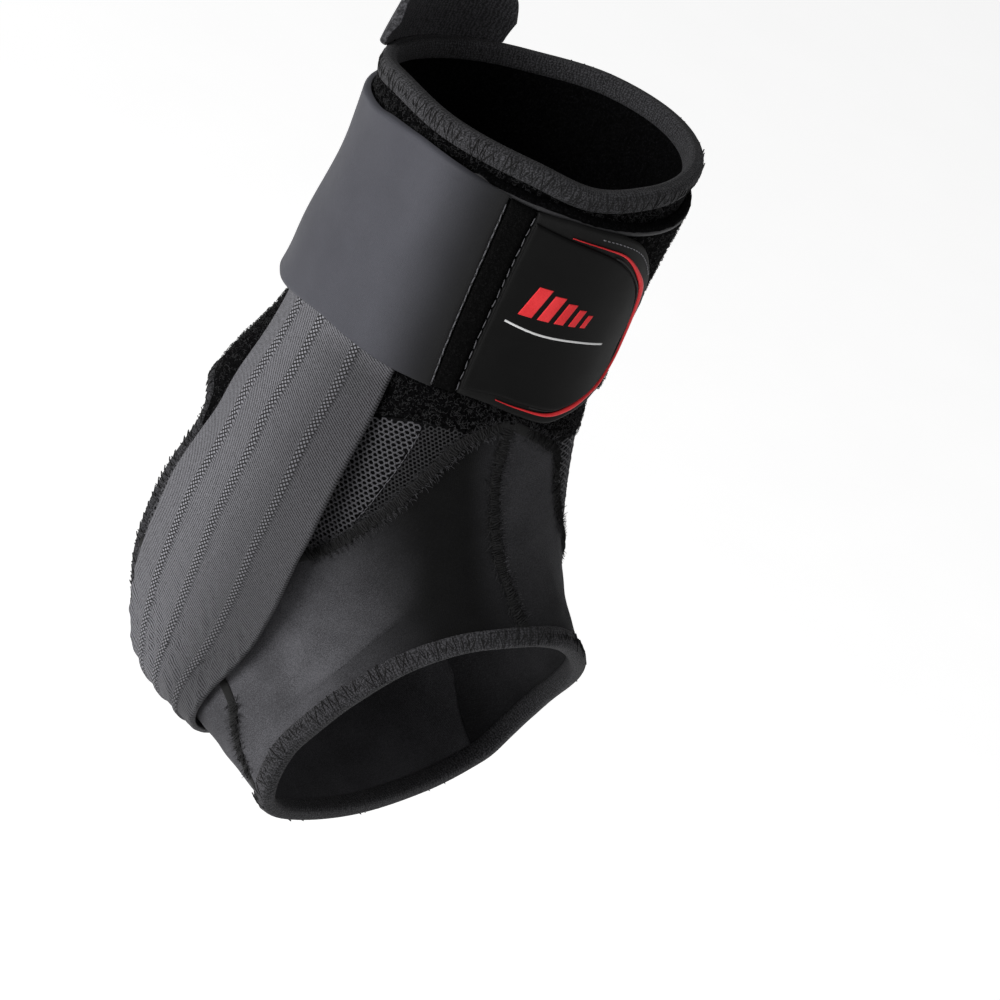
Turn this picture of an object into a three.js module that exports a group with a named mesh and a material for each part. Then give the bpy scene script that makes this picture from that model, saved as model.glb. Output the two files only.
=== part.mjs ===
// Ankle brace for a right foot. Millimetres, +Z up the leg, toes towards -Y, outer side of the
// leg towards -X, origin at the centre of the ankle joint.
import * as THREE from "three";

// Named sizes
const SPAN = 100;
const SLEEVE_WALL = 2.5;
const GAP = 0.35;
const STRAP_WALL = 1.6;
const STRAP_CLEAR = 0.65;
const WRAP_WALL = 1.7;
const RIB_HEIGHT = 0.6;
const BINDING_WIDTH = 5.5;
const BINDING_DEPTH = 4.4;
const HEEL_BINDING_WIDTH = 3.6;
const HEEL_BINDING_DEPTH = 3.6;
const SEAM_WIDTH = 3.6;
const SEAM_DEPTH = 1.0;
const PIPING_WIDTH = 1.3;
const PIPING_DEPTH = 0.6;
const TAB_WALL = 2.0;
const TAB_LEAN = 2.8;
const SEAM_CLEAR = 0.55;

// Heights above the skin at which each layer starts
const STRAP_LIFT = SLEEVE_WALL + STRAP_CLEAR;
const OUTER_WRAP_LIFT = STRAP_LIFT + STRAP_WALL + RIB_HEIGHT + GAP;
const INNER_WRAP_LIFT = SLEEVE_WALL + GAP;
const TAB_LIFT = SLEEVE_WALL + BINDING_DEPTH / 4 + GAP;

// The leg and foot inside the brace: slanting sections from the calf down to the toes. Lengths
// are shares of SPAN; row numbers start at FIRST_ROW.
const FIRST_ROW = -1;
const SECTION = ["frontY", "frontZ", "backY", "backZ", "halfWidth", "frontX", "egg", "square"];
const SECTIONS = [
  [-0.42, 1.56, 0.44, 1.58, 0.41, 0.0, 0.0, 2.1],
  [-0.39, 1.24, 0.41, 1.26, 0.375, 0.0, 0.0, 2.1],
  [-0.37, 0.92, 0.39, 0.94, 0.345, 0.0, 0.0, 2.1],
  [-0.37, 0.62, 0.38, 0.62, 0.33, 0.0, 0.0, 2.1],
  [-0.4, 0.39, 0.38, 0.34, 0.35, 0.01, 0.03, 2.1],
  [-0.46, 0.19, 0.44, 0.06, 0.38, 0.03, 0.06, 2.1],
  [-0.54, 0.03, 0.56, -0.24, 0.385, 0.06, 0.08, 2.1],
  [-0.63, -0.09, 0.55, -0.54, 0.385, 0.11, 0.08, 2.2],
  [-0.73, -0.18, 0.34, -0.73, 0.39, 0.13, 0.08, 2.3],
  [-0.85, -0.26, 0.0, -0.74, 0.41, 0.14, 0.1, 2.4],
  [-0.98, -0.32, -0.38, -0.76, 0.44, 0.14, 0.12, 2.4],
  [-1.12, -0.38, -0.75, -0.77, 0.47, 0.14, 0.14, 2.5],
];

// Lines drawn on the skin. Each row is an angle round the leg, from the front towards the outer
// side, in degrees, and a section row.
const RIM = [[0, 0.34], [25, 0.42], [50, 0.38], [85, 0.42], [111, 0.45], [138, 0.57], [180, 0.62],
  [222, 0.55], [255, 0.4], [290, 0.3], [325, 0.28]];
const CUFF_BACK = [[138, 4.04], [155, 3.9], [180, 3.88], [205, 3.9], [222, 4.04]];
const FOOT_RIM = [[-12, 5.85], [2, 5.67], [17, 5.66], [32, 5.82], [47, 6.22], [67, 6.97], [81, 7.48],
  [96, 7.92], [110, 8.3], [124, 8.58], [150, 8.85], [180, 8.95], [210, 8.85], [236, 8.58], [252, 8.3],
  [270, 7.92], [288, 7.48], [308, 6.97], [330, 6.35]];
const HEEL_RIM = [[180, 3.98], [155, 4.0], [138, 4.15], [131, 4.6], [130, 5.3], [131, 5.9],
  [134, 6.4], [146, 6.88], [162, 7.12], [180, 7.2], [198, 7.12], [214, 6.88], [226, 6.4], [229, 5.9],
  [230, 5.3], [229, 4.6], [222, 4.15], [205, 4.0]];

// Where the sole panel starts and ends along the heel opening, as row numbers of HEEL_RIM
const SOLE_STARTS = [5.6, 12.4];

const MESH_TOP_OUTER = [[35, 2.84], [52, 2.93], [70, 3.08], [90, 3.24], [110, 3.48], [128, 3.88]];
const SEAM_OUTER = [[35, 2.97], [45, 3.5], [57, 4.2], [74, 5.05], [100, 5.6], [127, 5.82]];
const MESH_TOP_INNER = [[-8, 2.84], [-28, 2.95], [-60, 3.08], [-85, 3.24], [-108, 3.48], [-128, 3.88]];
const SEAM_INNER = [[-8, 3.0], [-15, 3.6], [-26, 4.25], [-52, 5.05], [-92, 5.6], [-127, 5.82]];

const FRONT_SEAM = [[19, 2.64], [20, 3.2], [18, 3.8], [15, 4.4], [12, 4.8], [8, 5.66]];
const SOLE_SEAM = [[128.5, 6.15], [113, 6.53], [103, 6.93], [104, 7.38], [110, 7.72], [117, 8.07],
  [122, 8.35], [127, 8.66]];

// Straps: each row is angle and section row on one edge, then the same on the other edge.
const STIRRUP = [
  [66, 1.95, 128, 1.95], [67, 2.5, 130, 2.6], [68, 3.1, 131, 3.15], [69, 3.6, 131, 3.65],
  [70, 4.15, 127, 4.15], [71, 4.7, 124, 4.65], [74, 5.3, 123, 5.2], [78, 5.85, 124, 5.65],
  [84, 6.35, 127, 6.08], [93, 6.78, 132, 6.48], [104, 7.15, 139, 6.82], [117, 7.5, 148, 7.06],
  [134, 7.8, 158, 7.2], [156, 8.0, 169, 7.27],
];
const STIRRUP_SOLE = [[180, 8.06, 180, 7.3]];
// How far the strap's front edge stands off the sleeve, as a share of STIRRUP_BRIDGE, row by row
const STIRRUP_BRIDGE = 5.5;
const STIRRUP_STANDOFF = [0, 0, 0.15, 0.5, 0.85, 1, 1, 0.9, 0.65, 0.4, 0.2, 0.1, 0, 0];
const RIBS = [0.25, 0.55, 0.78];
const RIB_HALF_SHARE = 0.026;
const RIB_EDGE_SHARE = 0.012;

const OUTER_WRAP = [[53, 0.55, 53, 2.44], [72, 0.53, 70, 2.46], [88, 0.55, 86, 2.45],
  [105, 0.55, 103, 2.46], [119, 0.6, 128, 2.6], [150, 0.74, 150, 2.66], [180, 0.78, 180, 2.68],
  [210, 0.74, 210, 2.66], [240, 0.64, 240, 2.6], [265, 0.6, 265, 2.54], [290, 0.6, 290, 2.5]];
const INNER_WRAP = [[71, 0.72, 71, 1.15], [66, 0.52, 68, 1.7], [57, 0.51, 60, 2.2],
  [35, 0.5, 35, 2.3], [18, 0.52, 18, 2.32], [-8, 0.52, -8, 2.3], [-40, 0.5, -40, 2.3],
  [-66, 0.5, -66, 2.3]];
const BAND = [[52.3, 0.56, 52.3, 2.42], [43.5, 0.58, 45, 2.4]];
const PATCH = [[42.8, 0.58, 44.3, 2.39], [32, 0.56, 33, 2.4], [20, 0.57, 22, 2.46], [9, 0.6, 9, 2.52],
  [0, 0.68, -1, 2.42], [-8, 0.84, -9, 2.3], [-15, 1.05, -16, 2.12], [-20, 1.3, -21, 1.92]];
const PIPING = [[29, 0.68], [16, 0.71], [6, 0.77], [-4, 0.94], [-11, 1.12], [-15, 1.38], [-17, 1.62],
  [-17, 1.83], [-13, 2.05], [-6, 2.2], [1, 2.32], [10, 2.4], [22, 2.36], [31, 2.32]];
const HEEL_TAB = [[146, 0.3, 147, 0.5], [149, 0.12, 150, 0.54], [156, 0.0, 157, 0.57],
  [168, -0.07, 168, 0.59], [180, -0.1, 180, 0.6], [192, -0.07, 192, 0.59], [204, 0.0, 203, 0.57],
  [211, 0.12, 210, 0.54], [214, 0.3, 213, 0.5]];

// Colours
const COLOURS = {
  loop: 0x1c1d20, neoprene: 0x232428, mesh: 0x26272b, knit: 0x2a2b2f, wrap: 0x3a3c42,
  elastic: 0x3d3f45, patch: 0x141519, red: 0xd23034, thread: 0x4a4b50,
};

const radians = THREE.MathUtils.degToRad;
const mix = THREE.MathUtils.lerp;

// Catmull-Rom through a table's rows; t runs over the row numbers.
function alongTable(rows, t, closed = false) {
  const count = rows.length;
  const at = Math.min(Math.floor(t), count - (closed ? 1 : 2));
  const f = t - at;
  const row = (i) => rows[closed ? (i + count) % count : Math.max(0, Math.min(count - 1, i))];
  const [a, b, c, d] = [row(at - 1), row(at), row(at + 1), row(at + 2)];
  return b.map((value, k) => 0.5 * (2 * value + (c[k] - a[k]) * f
    + (2 * a[k] - 5 * value + 4 * c[k] - d[k]) * f * f
    + (3 * value - a[k] - 3 * c[k] + d[k]) * f * f * f));
}

// An open line, or a loop, as a function of its share 0..1
const line = (rows) => (share) => alongTable(rows, share * (rows.length - 1));
const loop = (rows) => (share) => alongTable(rows, (share - Math.floor(share)) * rows.length, true);

// A line right round the leg, as its section row at any angle
function girth(rows) {
  const wrap = (i) => {
    const turn = Math.floor(i / rows.length);
    return [rows[i - turn * rows.length][0] + turn * 360, rows[i - turn * rows.length][1]];
  };
  return (angle) => {
    const round = angle - Math.floor((angle - rows[0][0]) / 360) * 360;
    const at = rows.findLastIndex((row) => row[0] <= round);
    const [a, b, c, d] = [wrap(at - 1), wrap(at), wrap(at + 1), wrap(at + 2)];
    const width = c[0] - b[0];
    const f = (round - b[0]) / width;
    const slopeB = ((c[1] - a[1]) / (c[0] - a[0])) * width;
    const slopeC = ((d[1] - b[1]) / (d[0] - b[0])) * width;
    return b[1] * (1 + 2 * f) * (1 - f) ** 2 + slopeB * f * (1 - f) ** 2
      + c[1] * f * f * (3 - 2 * f) + slopeC * f * f * (f - 1);
  };
}
const roundLeg = (rowAt) => (share) => [360 * share, rowAt(360 * share)];

function section(s) {
  const values = alongTable(SECTIONS, Math.max(0, Math.min(SECTIONS.length - 1, s - FIRST_ROW)));
  return Object.fromEntries(SECTION.map((name, k) => [name, values[k]]));
}

function skin(angle, s) {
  const q = section(s);
  const c = Math.cos(radians(angle));
  const n = Math.sin(radians(angle));
  const power = 2 + ((q.square - 2) * (1 - c)) / 2;
  const reach = (Math.abs(c) ** power + Math.abs(n) ** power) ** (-1 / power);
  const along = reach * c;
  return new THREE.Vector3(
    (q.frontX * (1 + c)) / 2 - q.halfWidth * reach * n * (1 - q.egg * c),
    (q.frontY + q.backY) / 2 + ((q.frontY - q.backY) / 2) * along,
    (q.frontZ + q.backZ) / 2 + ((q.frontZ - q.backZ) / 2) * along,
  ).multiplyScalar(SPAN);
}

const STEP_ANGLE = 0.1;
const STEP_ROW = 0.002;

function normalAt(angle, s) {
  const down = skin(angle, s + STEP_ROW).sub(skin(angle, s - STEP_ROW));
  const round = skin(angle + STEP_ANGLE, s).sub(skin(angle - STEP_ANGLE, s));
  return round.cross(down).normalize();
}

function shell(angle, s, height) {
  return skin(angle, s).addScaledVector(normalAt(angle, s), height);
}

function meshOf(name, colour, points, faces) {
  const geometry = new THREE.BufferGeometry();
  geometry.setAttribute("position", new THREE.Float32BufferAttribute(points.flatMap((p) => p.toArray()), 3));
  geometry.setIndex(faces.flat());
  geometry.computeVertexNormals();
  const material = new THREE.MeshStandardMaterial({ color: COLOURS[colour], roughness: 0.9, metalness: 0 });
  const mesh = new THREE.Mesh(geometry, material);
  mesh.name = name;
  return mesh;
}

// A cloth wall over a grid. place(u, v) gives [angle, row]; low(u, v) and high(u, v) are the
// heights of its two faces; columns is a count or a list of shares.
function sheet(name, colour, { place, low, high, rows, columns, ring = false }) {
  const across = Array.isArray(columns) ? columns : Array.from({ length: columns + 1 }, (_, j) => j / columns);
  const lines = ring ? rows : rows + 1;
  const width = across.length;
  const points = [];
  for (const height of [low, high]) {
    for (let i = 0; i < lines; i += 1) {
      for (const v of across) {
        const u = i / rows;
        points.push(shell(...place(u, v), height(u, v)));
      }
    }
  }
  const index = (face, i, j) => face * lines * width + (i % lines) * width + j;
  const faces = [];
  const quad = (a, b, c, d) => faces.push([a, b, c], [a, c, d]);
  for (let i = 0; i < rows; i += 1) {
    for (let j = 0; j < width - 1; j += 1) {
      quad(index(1, i, j), index(1, i + 1, j), index(1, i + 1, j + 1), index(1, i, j + 1));
      quad(index(0, i, j), index(0, i, j + 1), index(0, i + 1, j + 1), index(0, i + 1, j));
    }
    quad(index(0, i, 0), index(0, i + 1, 0), index(1, i + 1, 0), index(1, i, 0));
    const last = width - 1;
    quad(index(0, i, last), index(1, i, last), index(1, i + 1, last), index(0, i + 1, last));
  }
  if (!ring) {
    for (let j = 0; j < width - 1; j += 1) {
      quad(index(0, 0, j), index(1, 0, j), index(1, 0, j + 1), index(0, 0, j + 1));
      quad(index(0, rows, j), index(0, rows, j + 1), index(1, rows, j + 1), index(1, rows, j));
    }
  }
  return facingOut(meshOf(name, colour, points, faces));
}

// Turns a mesh's faces round when its volume comes out negative.
function facingOut(mesh) {
  const { position } = mesh.geometry.attributes;
  const corners = mesh.geometry.index.array;
  const [a, b, c] = [new THREE.Vector3(), new THREE.Vector3(), new THREE.Vector3()];
  let volume = 0;
  for (let i = 0; i < corners.length; i += 3) {
    a.fromBufferAttribute(position, corners[i]);
    b.fromBufferAttribute(position, corners[i + 1]);
    c.fromBufferAttribute(position, corners[i + 2]);
    volume += a.dot(b.cross(c));
  }
  if (volume < 0) {
    mesh.geometry.setIndex(Array.from(corners).reverse());
    mesh.geometry.computeVertexNormals();
  }
  return mesh;
}

const level = (height) => () => height;

// A strap between two edges, from a table of [angle, row, angle, row]
function ladder(rows) {
  const at = line(rows);
  return (u, v) => {
    const [a0, s0, a1, s1] = at(u);
    return [mix(a0, a1, v), mix(s0, s1, v)];
  };
}

// Points of a line on the skin, and a point's distance from them
const EDGE_POINTS = 90;
const trace = (path) => Array.from({ length: EDGE_POINTS + 1 }, (_, i) => skin(...path(i / EDGE_POINTS)));
const nearest = new THREE.Vector3();
const stretch = new THREE.Line3();
function distanceTo(points, point) {
  let least = Infinity;
  for (let i = 1; i < points.length; i += 1) {
    stretch.set(points[i - 1], points[i]).closestPointToPoint(point, true, nearest);
    least = Math.min(least, nearest.distanceTo(point));
  }
  return least;
}

// A panel between four lines that meet at their ends, held back from each by a clearance in mm
function panel(top, foot, start, end, clear, rimAtEnd = end) {
  const [a, b, c, d] = [top(0), top(1), foot(0), foot(1)];
  const raw = (u, v) => [0, 1].map((k) => mix(top(u)[k], foot(u)[k], v) + mix(start(v)[k], end(v)[k], u)
    - mix(mix(a[k], b[k], u), mix(c[k], d[k], u), v));
  const edges = { top: trace(top), foot: trace(foot), start: trace(start), end: trace(rimAtEnd) };
  const setBack = (edge, pointAt) => {
    let [near, far] = [0, 0.5];
    for (let i = 0; i < 12; i += 1) {
      const middle = (near + far) / 2;
      if (distanceTo(edges[edge], skin(...pointAt(middle))) < clear[edge]) near = middle;
      else far = middle;
    }
    return far;
  };
  return (u, v) => {
    const across = mix(setBack("start", (share) => raw(share, v)), 1 - setBack("end", (share) => raw(1 - share, v)), u);
    const along = mix(
      setBack("top", (share) => raw(across, share)),
      1 - setBack("foot", (share) => raw(across, 1 - share)),
      v,
    );
    return raw(across, along);
  };
}

// A bead laid along a line: an oval of the given width and depth, its middle at `height`
function bead(name, colour, { path, height, width, depth, steps, sides, closed = false }) {
  const count = closed ? steps : steps + 1;
  const points = [];
  for (let i = 0; i < count; i += 1) {
    const share = i / steps;
    const [angle, s] = path(share);
    const reach = 0.25 / steps;
    const before = path(closed || share > 0 ? share - reach + (share < reach ? 1 : 0) : share);
    const after = path(closed || share < 1 ? share + reach : share);
    const tangent = skin(...after).sub(skin(...before)).normalize();
    const normal = normalAt(angle, s);
    const side = new THREE.Vector3().crossVectors(tangent, normal).normalize();
    for (let j = 0; j < sides; j += 1) {
      const turn = (2 * Math.PI * (j + 0.5)) / sides;
      points.push(skin(angle, s)
        .addScaledVector(normal, height(share) + (depth / 2) * Math.sin(turn))
        .addScaledVector(side, (width / 2) * Math.cos(turn)));
    }
  }
  const faces = [];
  for (let i = 0; i < steps; i += 1) {
    for (let j = 0; j < sides; j += 1) {
      const a = i * sides + j;
      const b = i * sides + ((j + 1) % sides);
      const c = ((i + 1) % count) * sides + ((j + 1) % sides);
      const d = ((i + 1) % count) * sides + j;
      faces.push([a, b, c], [a, c, d]);
    }
  }
  if (!closed) {
    for (let j = 1; j < sides - 1; j += 1) {
      faces.push([0, j + 1, j], [steps * sides, steps * sides + j, steps * sides + j + 1]);
    }
  }
  return facingOut(meshOf(name, colour, points, faces));
}

// Each row of a table with its angles taken to the other side of the leg
const across = (rows) => rows.map((row) => row.map((value, k) => (k % 2 ? value : 360 - value)));

const brace = new THREE.Group();

// Cuff: the leg part of the sleeve, a ring from the top binding to the mesh panels
const rimRow = girth(RIM);
const flipped = (rows) => rows.map(([angle, s]) => [-angle, s]);
const turned = (rows) => rows.map(([angle, s]) => [360 + angle, s]).toReversed();
const cuffFootRow = girth([FRONT_SEAM[0], ...MESH_TOP_OUTER, ...CUFF_BACK, ...turned(MESH_TOP_INNER)]);
const bindingClear = BINDING_WIDTH / 2 + GAP;
const rowHeight = (angle, s) => skin(angle, s + 0.5).distanceTo(skin(angle, s - 0.5));
brace.add(sheet("cuff", "loop", {
  place: (u, v) => {
    const angle = 360 * u;
    const [top, end] = [rimRow(angle), cuffFootRow(angle)];
    return [angle, mix(top + bindingClear / rowHeight(angle, top), end - SEAM_CLEAR / rowHeight(angle, end), v)];
  },
  low: level(0),
  high: level(SLEEVE_WALL),
  rows: 54,
  columns: 6,
  ring: true,
}));

// Mesh panels over the ankle bones, and the two halves of the foot part
const heelClear = HEEL_BINDING_WIDTH / 2 + GAP;
const footRow = girth(FOOT_RIM);
const heelLoop = loop(HEEL_RIM);
const frontSeam = line(FRONT_SEAM);
const sleevePanel = (name, colour, rows, columns, ...lines) => brace.add(sheet(name, colour, {
  place: panel(...lines), low: level(0), high: level(SLEEVE_WALL), rows, columns,
}));
const straight = (from, to) => (share) => [mix(from[0], to[0], share), mix(from[1], to[1], share)];
const footEdge = (from, to) => (share) => [mix(from, to, share), footRow(mix(from, to, share))];
const SOLE_ANGLE = SOLE_SEAM.at(-1)[0];
const foot = [
  ["outer", MESH_TOP_OUTER, SEAM_OUTER, SOLE_SEAM],
  ["inner", MESH_TOP_INNER, SEAM_INNER, flipped(SOLE_SEAM)],
];
for (const [side, meshTop, seam, soleSeam] of foot) {
  const meshStart = straight(meshTop[0], seam[0]);
  const meshEnd = straight(meshTop.at(-1), seam.at(-1));
  sleevePanel(`mesh_panel_${side}`, "mesh", 14, 6, line(meshTop), line(seam), meshStart, meshEnd,
    { start: SEAM_CLEAR, end: heelClear, top: SEAM_CLEAR, foot: SEAM_CLEAR }, heelLoop);
  const seamFromFront = line([FRONT_SEAM[0], ...seam]);
  const heelSide = line([seam.at(-1), ...soleSeam]);
  const rimLine = footEdge(FRONT_SEAM.at(-1)[0], soleSeam.at(-1)[0]);
  sleevePanel(`foot_panel_${side}`, "neoprene", 16, 9, seamFromFront, rimLine, frontSeam, heelSide,
    { start: SEAM_CLEAR, end: SEAM_CLEAR, top: SEAM_CLEAR, foot: bindingClear });
}

// Sole panel between the two sole seams, from the heel opening to the foot opening
const underSole = SOLE_SEAM.map(([angle, s]) => [360 - angle, s]);
const HEEL_SHARES = SOLE_STARTS.map((row) => row / HEEL_RIM.length);
sleevePanel("sole_panel", "neoprene", 8, 9, line(SOLE_SEAM), line(underSole),
  (share) => heelLoop(mix(...HEEL_SHARES, share)),
  footEdge(SOLE_SEAM.at(-1)[0], underSole.at(-1)[0]),
  { start: heelClear, end: bindingClear, top: SEAM_CLEAR, foot: SEAM_CLEAR });

// Knitted bindings round the three openings
const bindingHeight = level(SLEEVE_WALL / 2);
const wideBinding = { height: bindingHeight, width: BINDING_WIDTH, depth: BINDING_DEPTH, sides: 6, closed: true };
brace.add(bead("top_binding", "knit", { ...wideBinding, path: roundLeg(rimRow), steps: 48 }));
brace.add(bead("foot_binding", "knit", { ...wideBinding, path: roundLeg(footRow), steps: 56 }));
brace.add(bead("heel_binding", "knit", {
  path: heelLoop, height: bindingHeight, width: HEEL_BINDING_WIDTH, depth: HEEL_BINDING_DEPTH,
  steps: 40, sides: 6, closed: true,
}));

// Overlocked seams, lying on the joints between the panels
const seamHeight = level(SLEEVE_WALL + GAP + SEAM_DEPTH / 2);
const seamBead = (name, path, steps) => brace.add(bead(name, "thread", {
  path, height: seamHeight, width: SEAM_WIDTH, depth: SEAM_DEPTH, steps, sides: 6,
}));
const partOf = (path, from, to) => (share) => path(mix(from, to, share));
seamBead("front_seam", partOf(frontSeam, 0.03, 0.93), 20);
for (const [side, , seam, soleSeam] of foot) {
  seamBead(`panel_seam_${side}`, partOf(line([FRONT_SEAM[0], ...seam]), 0.06, 0.66), 20);
  seamBead(`sole_seam_${side}`, partOf(line(soleSeam), 0.42, 0.88), 12);
}

// Stirrup strap: down the outer side, under the sole and up the inner side, with three ribs
const stirrupRows = [...STIRRUP, ...STIRRUP_SOLE, ...across(STIRRUP).reverse()];
const standoffs = [...STIRRUP_STANDOFF, ...[0], ...STIRRUP_STANDOFF.toReversed()].map((share) => [share]);
const standoff = (u, v) => STIRRUP_BRIDGE * line(standoffs)(u)[0] * (1 - v) ** 2;
const ribColumns = [0, 0.1, ...RIBS.flatMap((at) => [
  at - RIB_HALF_SHARE - RIB_EDGE_SHARE, at - RIB_HALF_SHARE, at + RIB_HALF_SHARE,
  at + RIB_HALF_SHARE + RIB_EDGE_SHARE,
]), 1];
const onRib = (v) => RIBS.some((at) => Math.abs(v - at) <= RIB_HALF_SHARE + RIB_EDGE_SHARE / 2);
brace.add(sheet("stirrup_strap", "elastic", {
  place: ladder(stirrupRows),
  low: (u, v) => STRAP_LIFT + standoff(u, v),
  high: (u, v) => STRAP_LIFT + STRAP_WALL + standoff(u, v) + (onRib(v) ? RIB_HEIGHT : 0),
  rows: 36,
  columns: ribColumns,
}));

// Wide wrap round the lower leg: the stretchy part under it, the smooth part, the stitched band
// and the moulded patch on its end with a raised edge line
brace.add(sheet("inner_wrap", "loop", {
  place: ladder(INNER_WRAP), low: level(INNER_WRAP_LIFT), high: level(OUTER_WRAP_LIFT - GAP),
  rows: 20, columns: 4,
}));
brace.add(sheet("outer_wrap", "wrap", {
  place: ladder(OUTER_WRAP), low: level(OUTER_WRAP_LIFT), high: level(OUTER_WRAP_LIFT + WRAP_WALL),
  rows: 36, columns: 5,
}));
brace.add(sheet("wrap_band", "loop", {
  place: ladder(BAND), low: level(OUTER_WRAP_LIFT), high: level(OUTER_WRAP_LIFT + WRAP_WALL),
  rows: 3, columns: 8,
}));
brace.add(sheet("closure_patch", "patch", {
  place: ladder(PATCH), low: level(OUTER_WRAP_LIFT), high: level(OUTER_WRAP_LIFT + WRAP_WALL),
  rows: 18, columns: 8,
}));
brace.add(bead("edge_piping", "red", {
  path: line(PIPING), height: level(OUTER_WRAP_LIFT + WRAP_WALL + GAP + PIPING_DEPTH / 2),
  width: PIPING_WIDTH, depth: PIPING_DEPTH, steps: 36, sides: 6,
}));
brace.add(sheet("heel_tab", "knit", {
  place: ladder(HEEL_TAB),
  low: (u, v) => TAB_LIFT - TAB_LEAN * (1 - v) ** 1.5,
  high: (u, v) => TAB_LIFT - TAB_LEAN * (1 - v) ** 1.5 + TAB_WALL,
  rows: 20,
  columns: 4,
}));

export default brace;
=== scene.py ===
import math

import bpy
import numpy as np
from mathutils import Matrix, Vector


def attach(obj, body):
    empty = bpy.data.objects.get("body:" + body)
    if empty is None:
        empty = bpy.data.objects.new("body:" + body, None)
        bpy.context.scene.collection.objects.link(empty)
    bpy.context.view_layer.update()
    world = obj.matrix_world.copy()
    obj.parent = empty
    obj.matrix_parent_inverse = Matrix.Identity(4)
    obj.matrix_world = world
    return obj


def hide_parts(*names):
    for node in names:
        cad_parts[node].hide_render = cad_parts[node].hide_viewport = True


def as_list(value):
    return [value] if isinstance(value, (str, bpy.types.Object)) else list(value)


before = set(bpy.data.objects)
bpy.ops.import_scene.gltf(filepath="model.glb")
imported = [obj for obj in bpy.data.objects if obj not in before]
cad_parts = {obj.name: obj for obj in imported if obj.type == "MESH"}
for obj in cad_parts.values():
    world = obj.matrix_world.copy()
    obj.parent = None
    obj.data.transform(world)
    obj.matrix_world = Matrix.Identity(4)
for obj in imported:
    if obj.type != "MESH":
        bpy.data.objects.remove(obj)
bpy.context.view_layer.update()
MM = 0.001

# Sizes of the brace, in millimetres, as in the solids
SPAN = 100.0
SLEEVE_WALL = 2.5
GAP = 0.35
STRAP_WALL = 1.6
STRAP_CLEAR = 0.65
WRAP_WALL = 1.7
RIB_HEIGHT = 0.6
BINDING_WIDTH = 5.5
BINDING_DEPTH = 4.4
HEEL_BINDING_WIDTH = 3.6
HEEL_BINDING_DEPTH = 3.6
SEAM_WIDTH = 3.6
PIPING_WIDTH = 1.3
TAB_WALL = 2.0
TAB_LEAN = 2.8
TAB_TUCK = 0.65
MESH_WALL = 1.1
FLANGE_WALL = WRAP_WALL * 0.62
WRAP_HUG = 0.5
STRAP_LIFT = SLEEVE_WALL + STRAP_CLEAR
OUTER_WRAP_LIFT = STRAP_LIFT + STRAP_WALL + RIB_HEIGHT + GAP
INNER_WRAP_LIFT = SLEEVE_WALL + GAP
TAB_LIFT = SLEEVE_WALL + BINDING_DEPTH / 4 + GAP
INNER_WRAP_TOP = OUTER_WRAP_LIFT - GAP
WRAP_TOP = OUTER_WRAP_LIFT + WRAP_WALL
PAD_TOP = OUTER_WRAP_LIFT + WRAP_WALL * 1.02 + 0.02
SEAM_TOP = SLEEVE_WALL + 0.05
STIRRUP_BRIDGE = 5.5
TENDON_LOOSE = 5.0
TENDON_ROW, TENDON_ROWS = 3.85, 0.75
SEAM_CLEAR = 0.12
SOLE_LAP = 1.2
SOLE_DROP = 0.3
BINDING_CLEAR = 1.0
HEEL_CLEAR = 0.0
RIB_HALF = 1.25
PUCKER_DEPTH = 0.42
RIPPLE, FINE_RIPPLE = 6.4, 3.7
FRINGE_PITCH = 0.1
TUFT_PITCH = 1.75
ZIGZAG_PITCH = 2.3

# Shares of a line, section rows, and counts
HEEL_CORNER = 0.09
CUFF_TUCK = 0.065
SWELLS = 7
LAY_ROUNDS, LAY_MISS = 14, 0.05
NET_TURN = math.radians(-8)

# Slanting sections of the space inside the brace, from the top down, as shares of SPAN:
# front y, front z, back y, back z, half width, front x, egg, squareness
FIRST_ROW = -1
SECTIONS = np.array([
    (-0.42, 1.56, 0.44, 1.58, 0.41, 0.0, 0.0, 2.1),
    (-0.39, 1.24, 0.41, 1.26, 0.375, 0.0, 0.0, 2.1),
    (-0.37, 0.92, 0.39, 0.94, 0.345, 0.0, 0.0, 2.1),
    (-0.37, 0.62, 0.38, 0.62, 0.33, 0.0, 0.0, 2.1),
    (-0.4, 0.39, 0.38, 0.34, 0.35, 0.01, 0.03, 2.1),
    (-0.46, 0.19, 0.44, 0.06, 0.38, 0.03, 0.06, 2.1),
    (-0.54, 0.03, 0.56, -0.24, 0.385, 0.06, 0.08, 2.1),
    (-0.63, -0.09, 0.55, -0.54, 0.385, 0.11, 0.08, 2.2),
    (-0.73, -0.18, 0.34, -0.73, 0.39, 0.13, 0.08, 2.3),
    (-0.85, -0.26, 0.0, -0.74, 0.41, 0.14, 0.1, 2.4),
    (-0.98, -0.32, -0.38, -0.76, 0.44, 0.14, 0.12, 2.4),
    (-1.12, -0.38, -0.75, -0.77, 0.47, 0.14, 0.14, 2.5),
])

# Lines round that space: angle from the front towards the outer side, in degrees, and section row
RIM = [(0, 0.34), (25, 0.42), (50, 0.38), (85, 0.42), (111, 0.45), (138, 0.57), (180, 0.62),
       (222, 0.55), (255, 0.4), (290, 0.3), (325, 0.28)]
FOOT_RIM = [(-12, 5.85), (2, 5.67), (17, 5.66), (32, 5.82), (47, 6.22), (67, 6.97), (81, 7.48),
            (96, 7.92), (110, 8.3), (124, 8.58), (150, 8.85), (180, 8.95), (210, 8.85), (236, 8.58),
            (252, 8.3), (270, 7.92), (288, 7.48), (308, 6.97), (330, 6.35)]
HEEL_RIM = [(180, 3.98), (155, 4.0), (138, 4.15), (131, 4.6), (130, 5.3), (131, 5.9), (134, 6.4),
            (146, 6.88), (162, 7.12), (180, 7.2), (198, 7.12), (214, 6.88), (226, 6.4), (229, 5.9),
            (230, 5.3), (229, 4.6), (222, 4.15), (205, 4.0)]
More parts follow.
